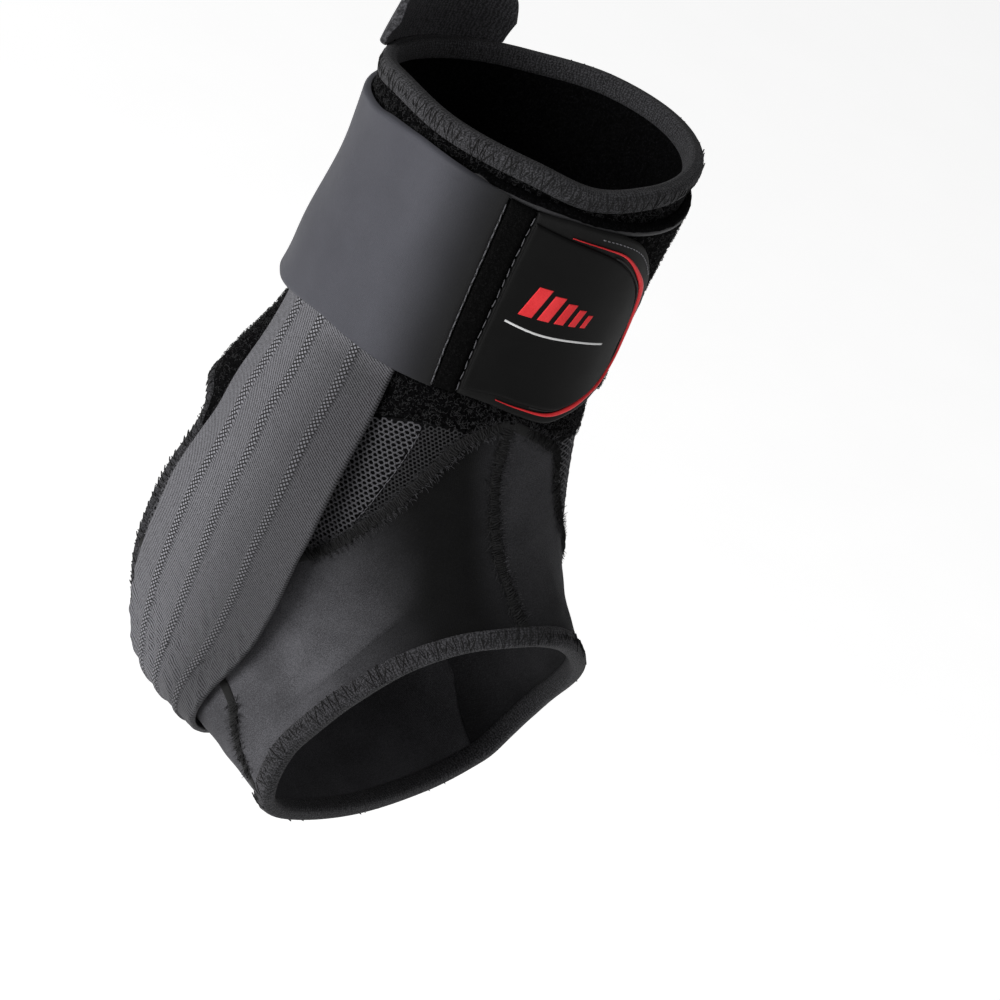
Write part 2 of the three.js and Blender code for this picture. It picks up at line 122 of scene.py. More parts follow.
CUFF_BACK = [(138, 4.04), (155, 3.9), (180, 3.88), (205, 3.9), (222, 4.04)]
MESH_TOP_OUTER = [(35, 2.84), (52, 2.93), (70, 3.08), (90, 3.24), (110, 3.48), (130.4, 4.4)]
MESH_TOP_INNER = [(-8, 2.84), (-28, 2.95), (-60, 3.08), (-85, 3.24), (-108, 3.48), (-130.4, 4.4)]
SEAM_OUTER = [(35, 2.97), (45, 3.5), (57, 4.2), (74, 5.05), (100, 5.6), (130, 5.8)]
SEAM_INNER = [(-8, 3.0), (-15, 3.6), (-26, 4.25), (-52, 5.05), (-92, 5.6), (-130, 5.8)]
FRONT_SEAM = [(19, 2.64), (20, 3.2), (18, 3.8), (15, 4.4), (12, 4.8), (8, 5.66)]
SOLE_SEAM = [(132.4, 6.2), (113, 6.53), (103, 6.93), (104, 7.38), (110, 7.72), (117, 8.07),
             (122, 8.35), (127, 8.66)]
SOLE_STARTS = (5.6, 12.4)

# Straps: angle and row on one edge, then on the other
STIRRUP = [(66, 1.95, 128, 1.95), (67, 2.5, 130, 2.6), (68, 3.1, 131, 3.15), (69, 3.6, 131, 3.65),
           (70, 4.15, 127, 4.15), (71, 4.7, 124, 4.65), (74, 5.3, 123, 5.2), (78, 5.85, 124, 5.65),
           (84, 6.35, 127, 6.08), (93, 6.78, 132, 6.48), (104, 7.15, 139, 6.82), (117, 7.5, 148, 7.06),
           (134, 7.8, 158, 7.2), (156, 8.0, 169, 7.27)]
STIRRUP_SOLE = [(180, 8.06, 180, 7.3)]
STIRRUP_STANDOFF = [0, 0, 0.15, 0.5, 0.85, 1, 1, 0.9, 0.65, 0.4, 0.2, 0.1, 0, 0]
# How much the strap puckers between its ribs, row by row
STIRRUP_PUCKER = [0, 0, 0, 0, 0, 0, 0.08, 0.25, 0.6, 1, 1, 0.8, 0.5, 0.3]
RIBS = (0.25, 0.55, 0.78)
OUTER_WRAP = [(53, 0.55, 53, 2.44), (72, 0.53, 70, 2.46), (88, 0.58, 86, 2.45), (105, 0.64, 103, 2.46),
              (119, 0.72, 128, 2.6), (150, 0.8, 150, 2.66), (180, 0.78, 180, 2.68), (210, 0.74, 210, 2.66),
              (240, 0.64, 240, 2.6), (265, 0.6, 265, 2.54), (290, 0.6, 290, 2.5)]
INNER_WRAP = [(71, 0.72, 71, 1.15), (66, 0.52, 68, 1.7), (57, 0.51, 60, 2.2), (35, 0.5, 35, 2.3),
              (18, 0.52, 18, 2.32), (-8, 0.52, -8, 2.3), (-40, 0.5, -40, 2.3), (-66, 0.5, -66, 2.3)]
BAND = [(52.3, 0.56, 52.3, 2.42), (43.5, 0.58, 45, 2.4)]
PATCH = [(42.8, 0.58, 44.3, 2.39), (32, 0.56, 33, 2.4), (20, 0.57, 22, 2.46), (9, 0.6, 9, 2.52),
         (0, 0.68, -1, 2.42), (-8, 0.84, -9, 2.3), (-15, 1.05, -16, 2.12), (-20, 1.3, -21, 1.92)]
PAD = [(42, 0.66, 43.4, 2.31), (30, 0.7, 31, 2.27), (17, 0.75, 20, 2.31), (7, 0.83, 8, 2.34),
       (-2, 0.98, -1, 2.25), (-8.5, 1.16, -9, 2.1), (-13.5, 1.42, -14, 1.86)]
PIPING = [(29, 0.68), (16, 0.71), (6, 0.77), (-4, 0.94), (-11, 1.12), (-15, 1.38), (-17, 1.62),
          (-17, 1.83), (-13, 2.05), (-6, 2.2), (1, 2.32), (10, 2.4), (22, 2.36), (31, 2.32)]
HEEL_TAB = [(146, 0.3, 147, 0.5), (149, 0.12, 150, 0.54), (156, 0.0, 157, 0.57),
            (168, -0.07, 168, 0.59), (180, -0.1, 180, 0.6), (192, -0.07, 192, 0.59),
            (204, 0.0, 203, 0.57), (211, 0.12, 210, 0.54), (214, 0.3, 213, 0.5)]
STAY = [(51.5, 3.05), (53.5, 3.35), (57.5, 3.8), (62.5, 4.3)]

# Bars of the motif: left and right angle, top and bottom row; and the line under them
MOTIF = [(35.5, 30.6, 1.16, 1.44), (28.6, 24.4, 1.2, 1.44), (22.4, 18.9, 1.24, 1.44),
         (16.9, 14.1, 1.28, 1.44), (12.1, 10.1, 1.32, 1.44)]
MOTIF_LINE = [(38.5, 1.53), (26, 1.57), (10, 1.58), (-2, 1.6)]


# Lines and the inner surface they lie on
def mix(a, b, share):
    return a + (b - a) * share


def smooth(x, low, high):
    t = np.clip((x - low) / (high - low), 0, 1)
    return t * t * (3 - 2 * t)


def table_at(rows, t, closed=False):
    rows = np.asarray(rows, float)
    if rows.ndim == 1:
        rows = rows[:, None]
    count = len(rows)
    t = np.asarray(t, float)
    at = np.minimum(np.floor(t).astype(int), count - (1 if closed else 2))
    f = (t - at)[..., None]
    pick = (lambda i: rows[i % count]) if closed else (lambda i: rows[np.clip(i, 0, count - 1)])
    a, b, c, d = pick(at - 1), pick(at), pick(at + 1), pick(at + 2)
    return 0.5 * (2 * b + (c - a) * f + (2 * a - 5 * b + 4 * c - d) * f ** 2
                  + (3 * b - a - 3 * c + d) * f ** 3)


def line(rows):
    return lambda share: table_at(rows, share * (len(rows) - 1))


def loop(rows):
    return lambda share: table_at(rows, (share % 1) * len(rows), True)


def girth(rows):
    rows = np.asarray(rows, float)
    around = np.concatenate([rows[-2:, 0] - 360, rows[:, 0], rows[:3, 0] + 360])
    level = np.concatenate([rows[-2:, 1], rows[:, 1], rows[:3, 1]])
    slope = np.gradient(level)
    slope[1:-1] = (level[2:] - level[:-2]) / (around[2:] - around[:-2])

    def row_at(angle):
        x = (np.asarray(angle, float) - rows[0, 0]) % 360 + rows[0, 0]
        i = np.clip(np.searchsorted(around, x, side="right") - 1, 1, len(around) - 3)
        width = around[i + 1] - around[i]
        f = (x - around[i]) / width
        return (level[i] * (1 + 2 * f) * (1 - f) ** 2 + slope[i] * width * f * (1 - f) ** 2
                + level[i + 1] * f * f * (3 - 2 * f) + slope[i + 1] * width * f * f * (f - 1))
    return row_at


def skin(angle, row):
    angle, row = np.broadcast_arrays(np.asarray(angle, float), np.asarray(row, float))
    q = table_at(SECTIONS, np.clip(row - FIRST_ROW, 0, len(SECTIONS) - 1))
    front_y, front_z, back_y, back_z, half, front_x, egg, square = np.moveaxis(q, -1, 0)
    c, n = np.cos(np.radians(angle)), np.sin(np.radians(angle))
    power = 2 + (square - 2) * (1 - c) / 2
    reach = (np.abs(c) ** power + np.abs(n) ** power) ** (-1 / power)
    along = reach * c
    loose = TENDON_LOOSE / SPAN * np.exp(-((row - TENDON_ROW) / TENDON_ROWS) ** 2) * smooth(-c, 0.58, 0.92)
    return SPAN * np.stack([
        front_x * (1 + c) / 2 - (half + 0.55 * loose) * reach * n * (1 - egg * c),
        (front_y + back_y) / 2 + (front_y - back_y) / 2 * along + loose,
        (front_z + back_z) / 2 + (front_z - back_z) / 2 * along], -1)


def unit(v):
    return v / np.maximum(np.linalg.norm(v, axis=-1, keepdims=True), 1e-9)


def normal_at(angle, row):
    down = skin(angle, row + 0.002) - skin(angle, row - 0.002)
    around = skin(angle + 0.1, row) - skin(angle - 0.1, row)
    return unit(np.cross(around, down))


def shell(angle, row, height):
    return skin(angle, row) + normal_at(angle, row) * np.asarray(height, float)[..., None]


def ladder(rows):
    at = line(rows)

    def place(u, v):
        q = at(u)
        return mix(q[..., 0], q[..., 2], v), mix(q[..., 1], q[..., 3], v)
    return place


def panel(top, foot, start, end, clear):
    """Between four lines, held back by (start, end, top, bottom) millimetres."""
    a, b, c, d = top(0.0), top(1.0), foot(0.0), foot(1.0)

    def raw(u, v):
        u1, v1 = np.asarray(u)[..., None], np.asarray(v)[..., None]
        return (mix(top(u), foot(u), v1) + mix(start(v), end(v), u1)
                - mix(mix(a, b, u1), mix(c, d, u1), v1))

    def length(path):
        p = skin(*np.moveaxis(path, -1, 0))
        return np.linalg.norm(np.diff(p, axis=0), axis=-1).sum(0)

    steps = np.linspace(0, 1, 24)[:, None]
    shares = np.linspace(0, 1, 24)[None, :]
    wide = length(raw(steps + 0 * shares, shares + 0 * steps))
    tall = length(raw(shares + 0 * steps, steps + 0 * shares))

    def place(u, v):
        w, t = np.interp(v, shares[0], wide), np.interp(u, shares[0], tall)
        q = raw(mix(clear[0] / w, 1 - clear[1] / w, u), mix(clear[2] / t, 1 - clear[3] / t, v))
        return q[..., 0], q[..., 1]
    return place


# Finishes: every one is nodes on the cloth's own map or on the object's coordinates
COOL = (0.99, 0.98, 1.07)
BLUE = (0.97, 0.98, 1.17)


def grey(level, tint=(1.0, 1.0, 1.0)):
    """A tone of the photograph, 0 to 255, as a linear colour."""
    share = level / 255
    linear = share / 12.92 if share < 0.04 else ((share + 0.055) / 1.055) ** 2.4
    return tuple(linear * part for part in tint) + (1.0,)


def cool(level):
    return grey(level, COOL)


def feed(tree, value, socket):
    """Link a node's output to the socket, or set the socket to a plain value."""
    if isinstance(value, bpy.types.NodeSocket):
        tree.links.new(value, socket)
    else:
        socket.default_value = value


class Finish:
    """One material and the nodes that make its weave, in millimetres of its own cloth."""

    def __init__(self, name, roughness, specular=0.3, sheen=0.0, sheen_roughness=0.5):
        self.material = bpy.data.materials.new(name)
        self.material.use_nodes = True
        self.tree = self.material.node_tree
        self.shader = self.tree.nodes["Principled BSDF"]
        for key, value in (("Roughness", roughness), ("Specular IOR Level", specular),
                           ("Sheen Weight", sheen), ("Sheen Roughness", sheen_roughness)):
            self.shader.inputs[key].default_value = value
        flat = self.add("ShaderNodeUVMap", uv_map="UVMap")
        cloth_map = self.add("ShaderNodeVectorMath", {0: flat, "Scale": 1 / MM}, operation="SCALE")
        spot = self.add("ShaderNodeTexCoord", result="Object")
        self.space = self.add("ShaderNodeVectorMath", {0: spot, "Scale": 1 / MM}, operation="SCALE")
        parts = self.tree.nodes.new("ShaderNodeSeparateXYZ")
        self.tree.links.new(cloth_map, parts.inputs[0])
        self.across, self.along = parts.outputs[0], parts.outputs[1]

    def add(self, kind, sockets=None, result=0, **settings):
        node = self.tree.nodes.new(kind)
        for key, value in settings.items():
            setattr(node, key, value)
        for key, value in (sockets or {}).items():
            feed(self.tree, value, node.inputs[key])
        return node.outputs[result]

    def maths(self, operation, *values):
        return self.add("ShaderNodeMath", dict(enumerate(values)), operation=operation)

    def times(self, one, two):
        return self.maths("MULTIPLY", one, two)

    def plus(self, one, two):
        return self.maths("ADD", one, two)

    def weigh(self, one, share, two, rest):
        """The sum of two values, each times its own weight."""
        return self.plus(self.times(one, share), self.times(two, rest))

    def wave(self, value, pitch):
        """A cosine of the given pitch in millimetres, 0 to 1."""
        swing = self.maths("COSINE", self.maths("MULTIPLY_ADD", value, 2 * math.pi / pitch, 0.0))
        return self.maths("MULTIPLY_ADD", swing, 0.5, 0.5)

    def noise(self, size, detail=2.0, rough=0.5, vector=None, result=0):
        sockets = {"Vector": vector or self.space, "Scale": 1 / size, "Detail": detail, "Roughness": rough}
        return self.add("ShaderNodeTexNoise", sockets, result)

    def steps(self, value, low, high):
        return self.add("ShaderNodeMapRange", {"Value": value, "From Min": low, "From Max": high},
                        interpolation_type="SMOOTHSTEP")

    def blend(self, share, dark, light):
        node = self.tree.nodes.new("ShaderNodeMix")
        node.data_type = "RGBA"
        for number, value in ((0, share), (6, dark), (7, light)):
            feed(self.tree, value, node.inputs[number])
        return node.outputs[2]

    def value(self, name):
        return self.add("ShaderNodeAttribute", result="Fac", attribute_name=name)

    def done(self, colour, height=None, depth=0.1, roughness=None):
        """Colour, and a relief of `depth` millimetres."""
        self.tree.links.new(colour, self.shader.inputs["Base Color"])
        if roughness is not None:
            self.tree.links.new(roughness, self.shader.inputs["Roughness"])
        if height is not None:
            bump = self.add("ShaderNodeBump", {"Height": height, "Distance": depth * MM, "Strength": 1.0})
            self.tree.links.new(bump, self.shader.inputs["Normal"])
        return self.material


def smooth_wrap():
    f = Finish("smooth_wrap", 0.62, 0.16, 0.02, 0.45)
    ribs = f.times(f.wave(f.across, 0.42), f.wave(f.along, 0.55))
    grain = f.noise(0.18, 3)
    tone = f.weigh(grain, 0.8, f.noise(9.0, 3), 0.2)
    lit = f.blend(f.steps(tone, 0.3, 0.7), grey(55, BLUE), grey(66, BLUE))
    # The near-black colour is painted shade, blended in towards the stitched groove
    return f.done(f.blend(f.value("painted_light"), cool(6), lit), f.weigh(ribs, 0.35, grain, 0.65), 0.05)


def brushed_loop(name, dark, light):
    """Loop pile: short fibres in tufts, matt and uneven."""
    f = Finish(name, 0.95, 0.02)
    bend = f.noise(1.25, result=1)
    at = f.add("ShaderNodeVectorMath", {0: bend, 1: (1.4, 1.4, 1.4), 2: f.space}, operation="MULTIPLY_ADD")
    fibre = f.noise(0.24, 4, 0.75, at)
    tuft = f.add("ShaderNodeTexVoronoi", {"Vector": at, "Scale": 1 / 0.7})
    share = f.steps(f.maths("SUBTRACT", fibre, f.times(tuft, 0.18)), 0.38, 0.68)
    return f.done(f.blend(share, dark, light), f.maths("SUBTRACT", fibre, f.times(tuft, 0.5)), 0.35)


def foam_jersey():
    """Smooth knit over foam: a dark copy of its colour for painted shade and a paler one for painted light,
    blended by a painted light value.
    """
    f = Finish("foam_jersey", 0.85, 0.1, 0.012)
    wale = f.wave(f.plus(f.across, f.times(f.noise(3.0, 1), 0.4)), 0.5)
    knit = f.times(wale, f.wave(f.along, 0.42))
    speck = f.noise(0.3, 3, 0.65)
    tone = f.weigh(speck, 0.7, f.noise(14.0, 3), 0.3)
    # Two copies of the jersey's colour: the paler one is painted light, the darker one painted shade
    lit_jersey = f.blend(f.steps(tone, 0.35, 0.68), cool(50), cool(82))
    new = f.blend(f.steps(speck, 0.4, 0.75), cool(3), cool(12))
    return f.done(f.blend(f.value("painted_light"), new, lit_jersey), f.weigh(knit, 0.4, speck, 0.6), 0.09)


def mesh_ground():
    f = Finish("mesh_ground", 0.95, 0.1)
    return f.done(f.blend(f.steps(f.noise(0.4, 3), 0.35, 0.7), cool(10), cool(24)), f.noise(0.3, 2), 0.2)


def knit_ribbon(name, dark, light, pitch):
    """Knitted ribbon: uneven ribs across its run, dark between them, with paler flecks."""
    f = Finish(name, 0.85, 0.15, 0.04)
    wander = f.times(f.noise(1.3, 3), 2.6)
    ribs = f.wave(f.plus(f.along, wander), pitch)
    purl = f.wave(f.plus(f.across, f.times(wander, 0.6)), 0.7)
    fleck = f.noise(0.3, 4, 0.75)
    knit = f.times(f.maths("MULTIPLY_ADD", purl, 0.5, 0.5), f.maths("MULTIPLY_ADD", ribs, 0.8, 0.2))
    tone = f.plus(f.times(knit, 0.35), fleck)
    return f.done(f.blend(f.steps(tone, 0.42, 0.95), dark, light), f.weigh(knit, 0.5, fleck, 0.8), 0.3)


def elastic_weave():
    """Woven elastic: a fine slanting twill, and a lattice of paler diamonds on the three ribs."""
    f = Finish("elastic_weave", 0.75, 0.2, 0.02)
    rib, painted_light = f.value("rib"), f.value("painted_light")
    twill = f.wave(f.plus(f.along, f.times(f.across, 0.62)), 0.72)
    one = f.wave(f.plus(f.along, f.across), 1.3)
    two = f.wave(f.maths("SUBTRACT", f.along, f.across), 1.3)
    lattice = f.steps(f.maths("MINIMUM", one, two), 0.12, 0.5)
    weave = f.steps(f.plus(f.times(twill, 0.3), f.noise(0.26, 3, 0.75)), 0.46, 0.78)
    # Plain and ribbed weave each blend a painted-shade tone into a painted-light tone
    plain = f.blend(weave, cool(14), f.blend(painted_light, cool(70), cool(108)))
    ribbed = f.blend(lattice, cool(18), f.blend(painted_light, cool(92), cool(128)))
    flat = f.weigh(twill, 0.6, f.wave(f.across, 0.5), 0.4)
    height = f.weigh(flat, f.maths("SUBTRACT", 1.0, rib), f.times(lattice, 1.6), rib)
    return f.done(f.blend(rib, plain, ribbed), height, 0.14)


def moulded(name, dark, light, roughness, depth):
    """Moulded rubber: satin, with a very fine grain."""
    f = Finish(name, roughness, 0.08)
    grain, cloud = f.noise(0.35, 3, 0.6), f.noise(7.0, 2)
    colour = f.blend(f.steps(f.weigh(grain, 0.5, cloud, 0.5), 0.3, 0.7), dark, light)
    return f.done(colour, grain, depth, f.maths("MULTIPLY_ADD", cloud, 0.18, roughness - 0.09))


def thread(name, dark, light, roughness=0.6, specular=0.3, ply=0.11, depth=0.05):
    f = Finish(name, roughness, specular, 0.03)
    twist = f.noise(ply, 3, 0.6)
    return f.done(f.blend(f.steps(twist, 0.35, 0.65), dark, light), twist, depth)


def studio_floor():
    """White floor that glows a little, as a lit table does."""
    f = Finish("studio_floor", 0.9, 0.1)
    f.shader.inputs["Emission Color"].default_value = (1, 1, 1, 1)
    f.shader.inputs["Emission Strength"].default_value = 0.55
    return f.done(f.blend(f.noise(60.0, 3), grey(238), grey(244)))


SMOOTH_WRAP = smooth_wrap()
LOOP_PILE = brushed_loop("loop_pile", cool(3), cool(32))
LOOP_BAND = brushed_loop("loop_band", grey(6), grey(26))
FOAM_JERSEY = foam_jersey()
MESH_GROUND = mesh_ground()
MESH_STRAND = thread("mesh_strand", cool(22), cool(92), 0.7, 0.25, 0.12, 0.06)
RIBBON = knit_ribbon("knit_ribbon", cool(8), cool(68), 0.85)
TAB_RIBBON = knit_ribbon("tab_ribbon", cool(24), cool(82), 1.1)
ELASTIC = elastic_weave()
PATCH_RUBBER = moulded("patch_rubber", grey(4), grey(9), 0.5, 0.02)
RED_RUBBER = moulded("red_rubber", (0.55, 0.02, 0.025, 1), (0.7, 0.04, 0.045, 1), 0.4, 0.01)
SERGE_THREAD = thread("serge_thread", cool(4), cool(18), 0.9)
PALE_THREAD = thread("pale_thread", cool(78), cool(140))
GREY_THREAD = thread("grey_thread", cool(34), cool(98))
STAY_THREAD = thread("stay_thread", cool(50), cool(95))
DARK_THREAD = thread("dark_thread", grey(12), cool(34))
DARK_STRAND = thread("dark_strand", cool(14), cool(44), 0.8)
GROOVE_THREAD = thread("groove_thread", grey(4), grey(14), 0.9)
FRINGE_THREAD = thread("fringe_thread", cool(8), cool(62), 0.85)
FRINGE_DARK = thread("fringe_dark", grey(6), cool(34), 0.8)
ZIGZAG_THREAD = thread("zigzag_thread", cool(2), cool(10), 0.9)
PILE_THREAD = thread("pile_thread", cool(6), cool(38), 0.9)
EDGE_TAPE = thread("edge_tape", cool(26), cool(48))
# Lighter rubber for the ridge inside the piping: partly its own colour, partly a painted highlight
PATCH_RIDGE_HIGHLIGHT = moulded("patch_ridge_highlight", grey(26), grey(40), 0.45, 0.01)
PALE_RUBBER = moulded("pale_rubber", grey(190), grey(210), 0.5, 0.01)
FLANGE_RUBBER = moulded("flange_rubber", grey(9), grey(20), 0.5, 0.03)


# Mesh making
ROUND_STEPS = (0, 0.12, 0.35, 0.65)
HARD_EDGE = math.radians(55)
EDGE_START, EDGE_INSIDE = 0.3, 0.25


def shares(count, start=0.0, end=None):
    """Even shares 0..1, with closer lines where an edge of the given share is rounded."""
    end = start if end is None else end
    near = [start * k for k in ROUND_STEPS] if start else []
    far = [1 - end * k for k in ROUND_STEPS[::-1]] if end else []
    return np.concatenate([near, np.linspace(start, 1 - end, count + 1), far])


def settle(obj, slot):
    """Piece at the origin, smooth but for its hard edges, riding on the one body."""
    obj.data.shade_smooth()
    obj.data.set_sharp_from_angle(angle=HARD_EDGE)
    bpy.context.scene.collection.objects.link(obj)
    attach(obj, "root")
    return obj


def piece(name, points, faces, finish, uv, slot, node=None, values=None):
    """A mesh with its map and values as one piece, its faces outward whichever way round it was drawn."""
    mesh = bpy.data.meshes.new(name)
    mesh.from_pydata((points * MM).tolist(), [], faces)
    mesh.materials.append(finish)
    layer = mesh.uv_layers.new(name="UVMap")
    corner = np.zeros(len(mesh.loops), dtype=np.int32)
    mesh.loops.foreach_get("vertex_index", corner)
    layer.data.foreach_set("uv", (uv[corner] * MM).astype(np.float32).ravel())
    for key, data in (values or {}).items():
        mesh.attributes.new(key, "FLOAT", "POINT").data.foreach_set("value", data.astype(np.float32))
    mesh.validate()
    mesh.calc_loop_triangles()
    corners = np.zeros(len(mesh.loop_triangles) * 3, dtype=np.int32)
    mesh.loop_triangles.foreach_get("vertices", corners)
    p = (points * MM).astype(np.float32)[corners.reshape(-1, 3)]
    if np.einsum("ij,ij->i", p[:, 0], np.cross(p[:, 1], p[:, 2])).sum() < 0:
        mesh.flip_normals()
    obj = settle(bpy.data.objects.new(name, mesh), slot)
    if node:
        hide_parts(node)
    return obj


def run_lengths(points, axis):
    step = np.linalg.norm(np.diff(points, axis=axis), axis=-1)
    zero = np.zeros_like(np.take(step, [0], axis=axis))
    return np.concatenate([zero, np.cumsum(step, axis=axis)], axis=axis)


def quads(index):
    """The four corners of every cell of a grid of point numbers."""
    return index[:-1, :-1], index[1:, :-1], index[1:, 1:], index[:-1, 1:]


def cloth(name, finish, place, low, wall, rows, columns, slot, node=None, ring=False, rounding=1.2,
          relief=None, values=None, lean=None):
    """A wall of cloth on a grid, its outer edges rounded over `rounding` millimetres."""
    u, v = np.meshgrid(rows[:-1] if ring else rows, columns, indexing="ij")
    angle, row = place(u, v)
    base = skin(angle, row)
    across = run_lengths(base, 1)
    edge = np.minimum(across, across[:, -1:] - across)
    if ring:
        along = run_lengths(np.concatenate([base, base[:1]]), 0)[:-1]
    else:
        along = run_lengths(base, 0)
        edge = np.minimum(edge, np.minimum(along, along[-1:] - along))
    crown = np.sqrt(1 - (1 - np.clip(edge / rounding, 0, 1)) ** 2)
    start = np.broadcast_to(low(u, v) if callable(low) else low, u.shape)
    lift = start + wall * (EDGE_START + (1 - EDGE_START) * crown)
    if relief is not None:
        lift = lift + relief(u, v, along, across) * crown
    if lean is not None:
        start, lift = start + lean(u, v), lift + lean(u, v)
    normal = normal_at(angle, row)
    outer = base + normal * lift[..., None]
    inner = base + normal * (start + wall * EDGE_INSIDE * (1 - crown))[..., None]
    size = u.size
    index = np.arange(size).reshape(u.shape)
    if ring:
        index = np.concatenate([index, index[:1]])
    a, b, c, d = quads(index)
    faces = [np.stack([a, d, c, b], -1).reshape(-1, 4), np.stack([a, b, c, d], -1).reshape(-1, 4) + size]
    edges = [(index[:, 0], 1), (index[:, -1], -1)]
    if not ring:
        edges += [(index[0], -1), (index[-1], 1)]
    for edge_line, way in edges:
        p, q = edge_line[:-1], edge_line[1:]
        faces.append(np.stack([p, q, q + size, p + size], -1)[:, ::way])
    middle = across - across[:, -1:] / 2
    run = np.broadcast_to(along[:, along.shape[1] // 2][:, None], u.shape)
    uv = np.stack([middle, run], -1).reshape(-1, 2)
    extra = {key: np.tile(np.broadcast_to(fn(u, v, along, across), u.shape).ravel(), 2)
             for key, fn in (values or {}).items()}
    points = np.concatenate([inner.reshape(-1, 3), outer.reshape(-1, 3)])
    faces = np.concatenate(faces).tolist()
    return piece(name, points, faces, finish, np.tile(uv, (2, 1)), slot, node, extra)


def frames(path, steps, closed=False):
    """Shares, points, tangents, normals and sideways directions of a line on the surface."""
    share = np.linspace(0, 1, steps, endpoint=not closed)
    angle, row = np.moveaxis(path(share), -1, 0)
    p = skin(angle, row)
    tangent = unit(np.roll(p, -1, 0) - np.roll(p, 1, 0) if closed else np.gradient(p, axis=0))
    normal = normal_at(angle, row)
    return share, p, tangent, normal, unit(np.cross(tangent, normal))


def rope(name, finish, path, height, profile, steps, slot, node=None, closed=False, wobble=None):
    """A profile of (across, up) millimetres swept along a line on the surface."""
    share, p, tangent, normal, side = frames(path, steps, closed)
    out = np.broadcast_to(profile[:, 1] + height, (steps, len(profile)))
    wide = np.broadcast_to(profile[:, 0], out.shape)
    if wobble is not None:
        more_wide, more_out = wobble(share, profile)
        wide, out = wide + more_wide, out + more_out
    points = p[:, None] + side[:, None] * wide[..., None] + normal[:, None] * out[..., None]
    index = np.arange(out.size).reshape(out.shape)
    index = np.concatenate([index, index[:, :1]], 1)
    if closed:
        index = np.concatenate([index, index[:1]])
    faces = np.stack(quads(index), -1).reshape(-1, 4).tolist()
    if not closed:
        faces += [index[0, :-1][::-1].tolist(), index[-1, :-1].tolist()]
    girths = np.concatenate([[0], np.cumsum(np.linalg.norm(np.diff(profile, axis=0), axis=1))])
    run = run_lengths(np.concatenate([p, p[:1]]) if closed else p, 0)[:steps]
    uv = np.stack(np.broadcast_arrays(girths[None], run[:, None]), -1).reshape(-1, 2)
    return piece(name, points.reshape(-1, 3), faces, finish, uv, slot, node)


def oval(width, depth, sides=20, power=2.0):
    turn = np.linspace(0, 2 * math.pi, sides, endpoint=False)
    c, s = np.cos(turn), np.sin(turn)
    return np.stack([width / 2 * np.sign(c) * np.abs(c) ** (2 / power),
                     depth / 2 * np.sign(s) * np.abs(s) ** (2 / power)], -1)


def round_leg(row_at):
    return lambda share: np.stack([360 * share, row_at(360 * share)], -1)


def part_of(path, low, high):
    return lambda share: path(mix(low, high, share))


def joined(first, then, share):
    """One line from two that meet at a share of the way."""
    return lambda t: np.where(t[..., None] < share, first(np.minimum(t / share, 1)),
                              then(np.maximum((t - share) / (1 - share), 0)))


def straight(a, b):
    return lambda share: mix(np.asarray(a, float), np.asarray(b, float), share[..., None])


# Threads, strands and fibres: what two Geometry Nodes trees grow on bare points and edges
def node_tree(name, asked, nodes, links, grown):
    """A tree from rows: the inputs, the nodes with their settings and values, the links and the growth."""
    tree = bpy.data.node_groups.new(name, "GeometryNodeTree")
    for label, kind in (("Geometry", "Geometry"), *asked, ("Finish", "Material")):
        tree.interface.new_socket(label, in_out="INPUT", socket_type="NodeSocket" + kind)
    tree.interface.new_socket("Geometry", in_out="OUTPUT", socket_type="NodeSocketGeometry")
    made = {}
    ends = (("given", "NodeGroupInput"), ("real", "GeometryNodeRealizeInstances"),
            ("paint", "GeometryNodeSetMaterial"), ("result", "NodeGroupOutput"))
    for label, kind, *more in (*ends, *nodes):
        made[label] = tree.nodes.new(kind)
        settings, values = (*more, {}, {})[:2]
        for key, value in settings.items():
            setattr(made[label], key, value)
        for key, value in values.items():
            made[label].inputs[key].default_value = value
    joins = (*links, (*grown, "real", 0), ("real", 0, "paint", 0), ("given", "Finish", "paint", "Material"),
             ("paint", 0, "result", 0))
    for source, output, target, key in joins:
        tree.links.new(made[source].outputs[output], made[target].inputs[key])
    return tree


IN_VECTORS = {"data_type": "FLOAT_VECTOR"}
SEWING = node_tree("sewn_along", (
    ("Stitch", "Object"), ("Least", "Vector"), ("Most", "Vector"), ("Tilt", "Vector"), ("Seed", "Int")), (
    ("shape", "GeometryNodeObjectInfo"),
    ("place", "GeometryNodeInstanceOnPoints"),
    ("along", "GeometryNodeInputNamedAttribute", IN_VECTORS, {"Name": "along"}),
    ("out", "GeometryNodeInputNamedAttribute", IN_VECTORS, {"Name": "out"}),
    ("ahead", "FunctionNodeAlignRotationToVector", {"axis": "X", "pivot_axis": "AUTO"}),
    ("upright", "FunctionNodeAlignRotationToVector", {"axis": "Z", "pivot_axis": "X"}),
    ("less", "ShaderNodeVectorMath", {"operation": "SCALE"}, {"Scale": -1.0}),
    ("tilt", "FunctionNodeRandomValue", IN_VECTORS),
    ("size", "FunctionNodeRandomValue", IN_VECTORS),
    ("turn", "FunctionNodeEulerToRotation"),
    ("both", "FunctionNodeRotateRotation", {"rotation_space": "LOCAL"})), (
    ("given", "Stitch", "shape", "Object"), ("shape", "Geometry", "place", "Instance"),
    ("given", "Geometry", "place", "Points"), ("along", "Attribute", "ahead", "Vector"),
    ("out", "Attribute", "upright", "Vector"), ("ahead", "Rotation", "upright", "Rotation"),
    ("given", "Tilt", "less", 0), ("less", 0, "tilt", 0), ("given", "Tilt", "tilt", 1),
    ("given", "Seed", "tilt", "Seed"), ("tilt", 0, "turn", 0), ("upright", "Rotation", "both", "Rotation"),
    ("turn", 0, "both", "Rotate By"), ("both", 0, "place", "Rotation"), ("given", "Least", "size", 0),
    ("given", "Most", "size", 1), ("given", "Seed", "size", "Seed"), ("size", 0, "place", "Scale")),
    ("place", "Instances"))
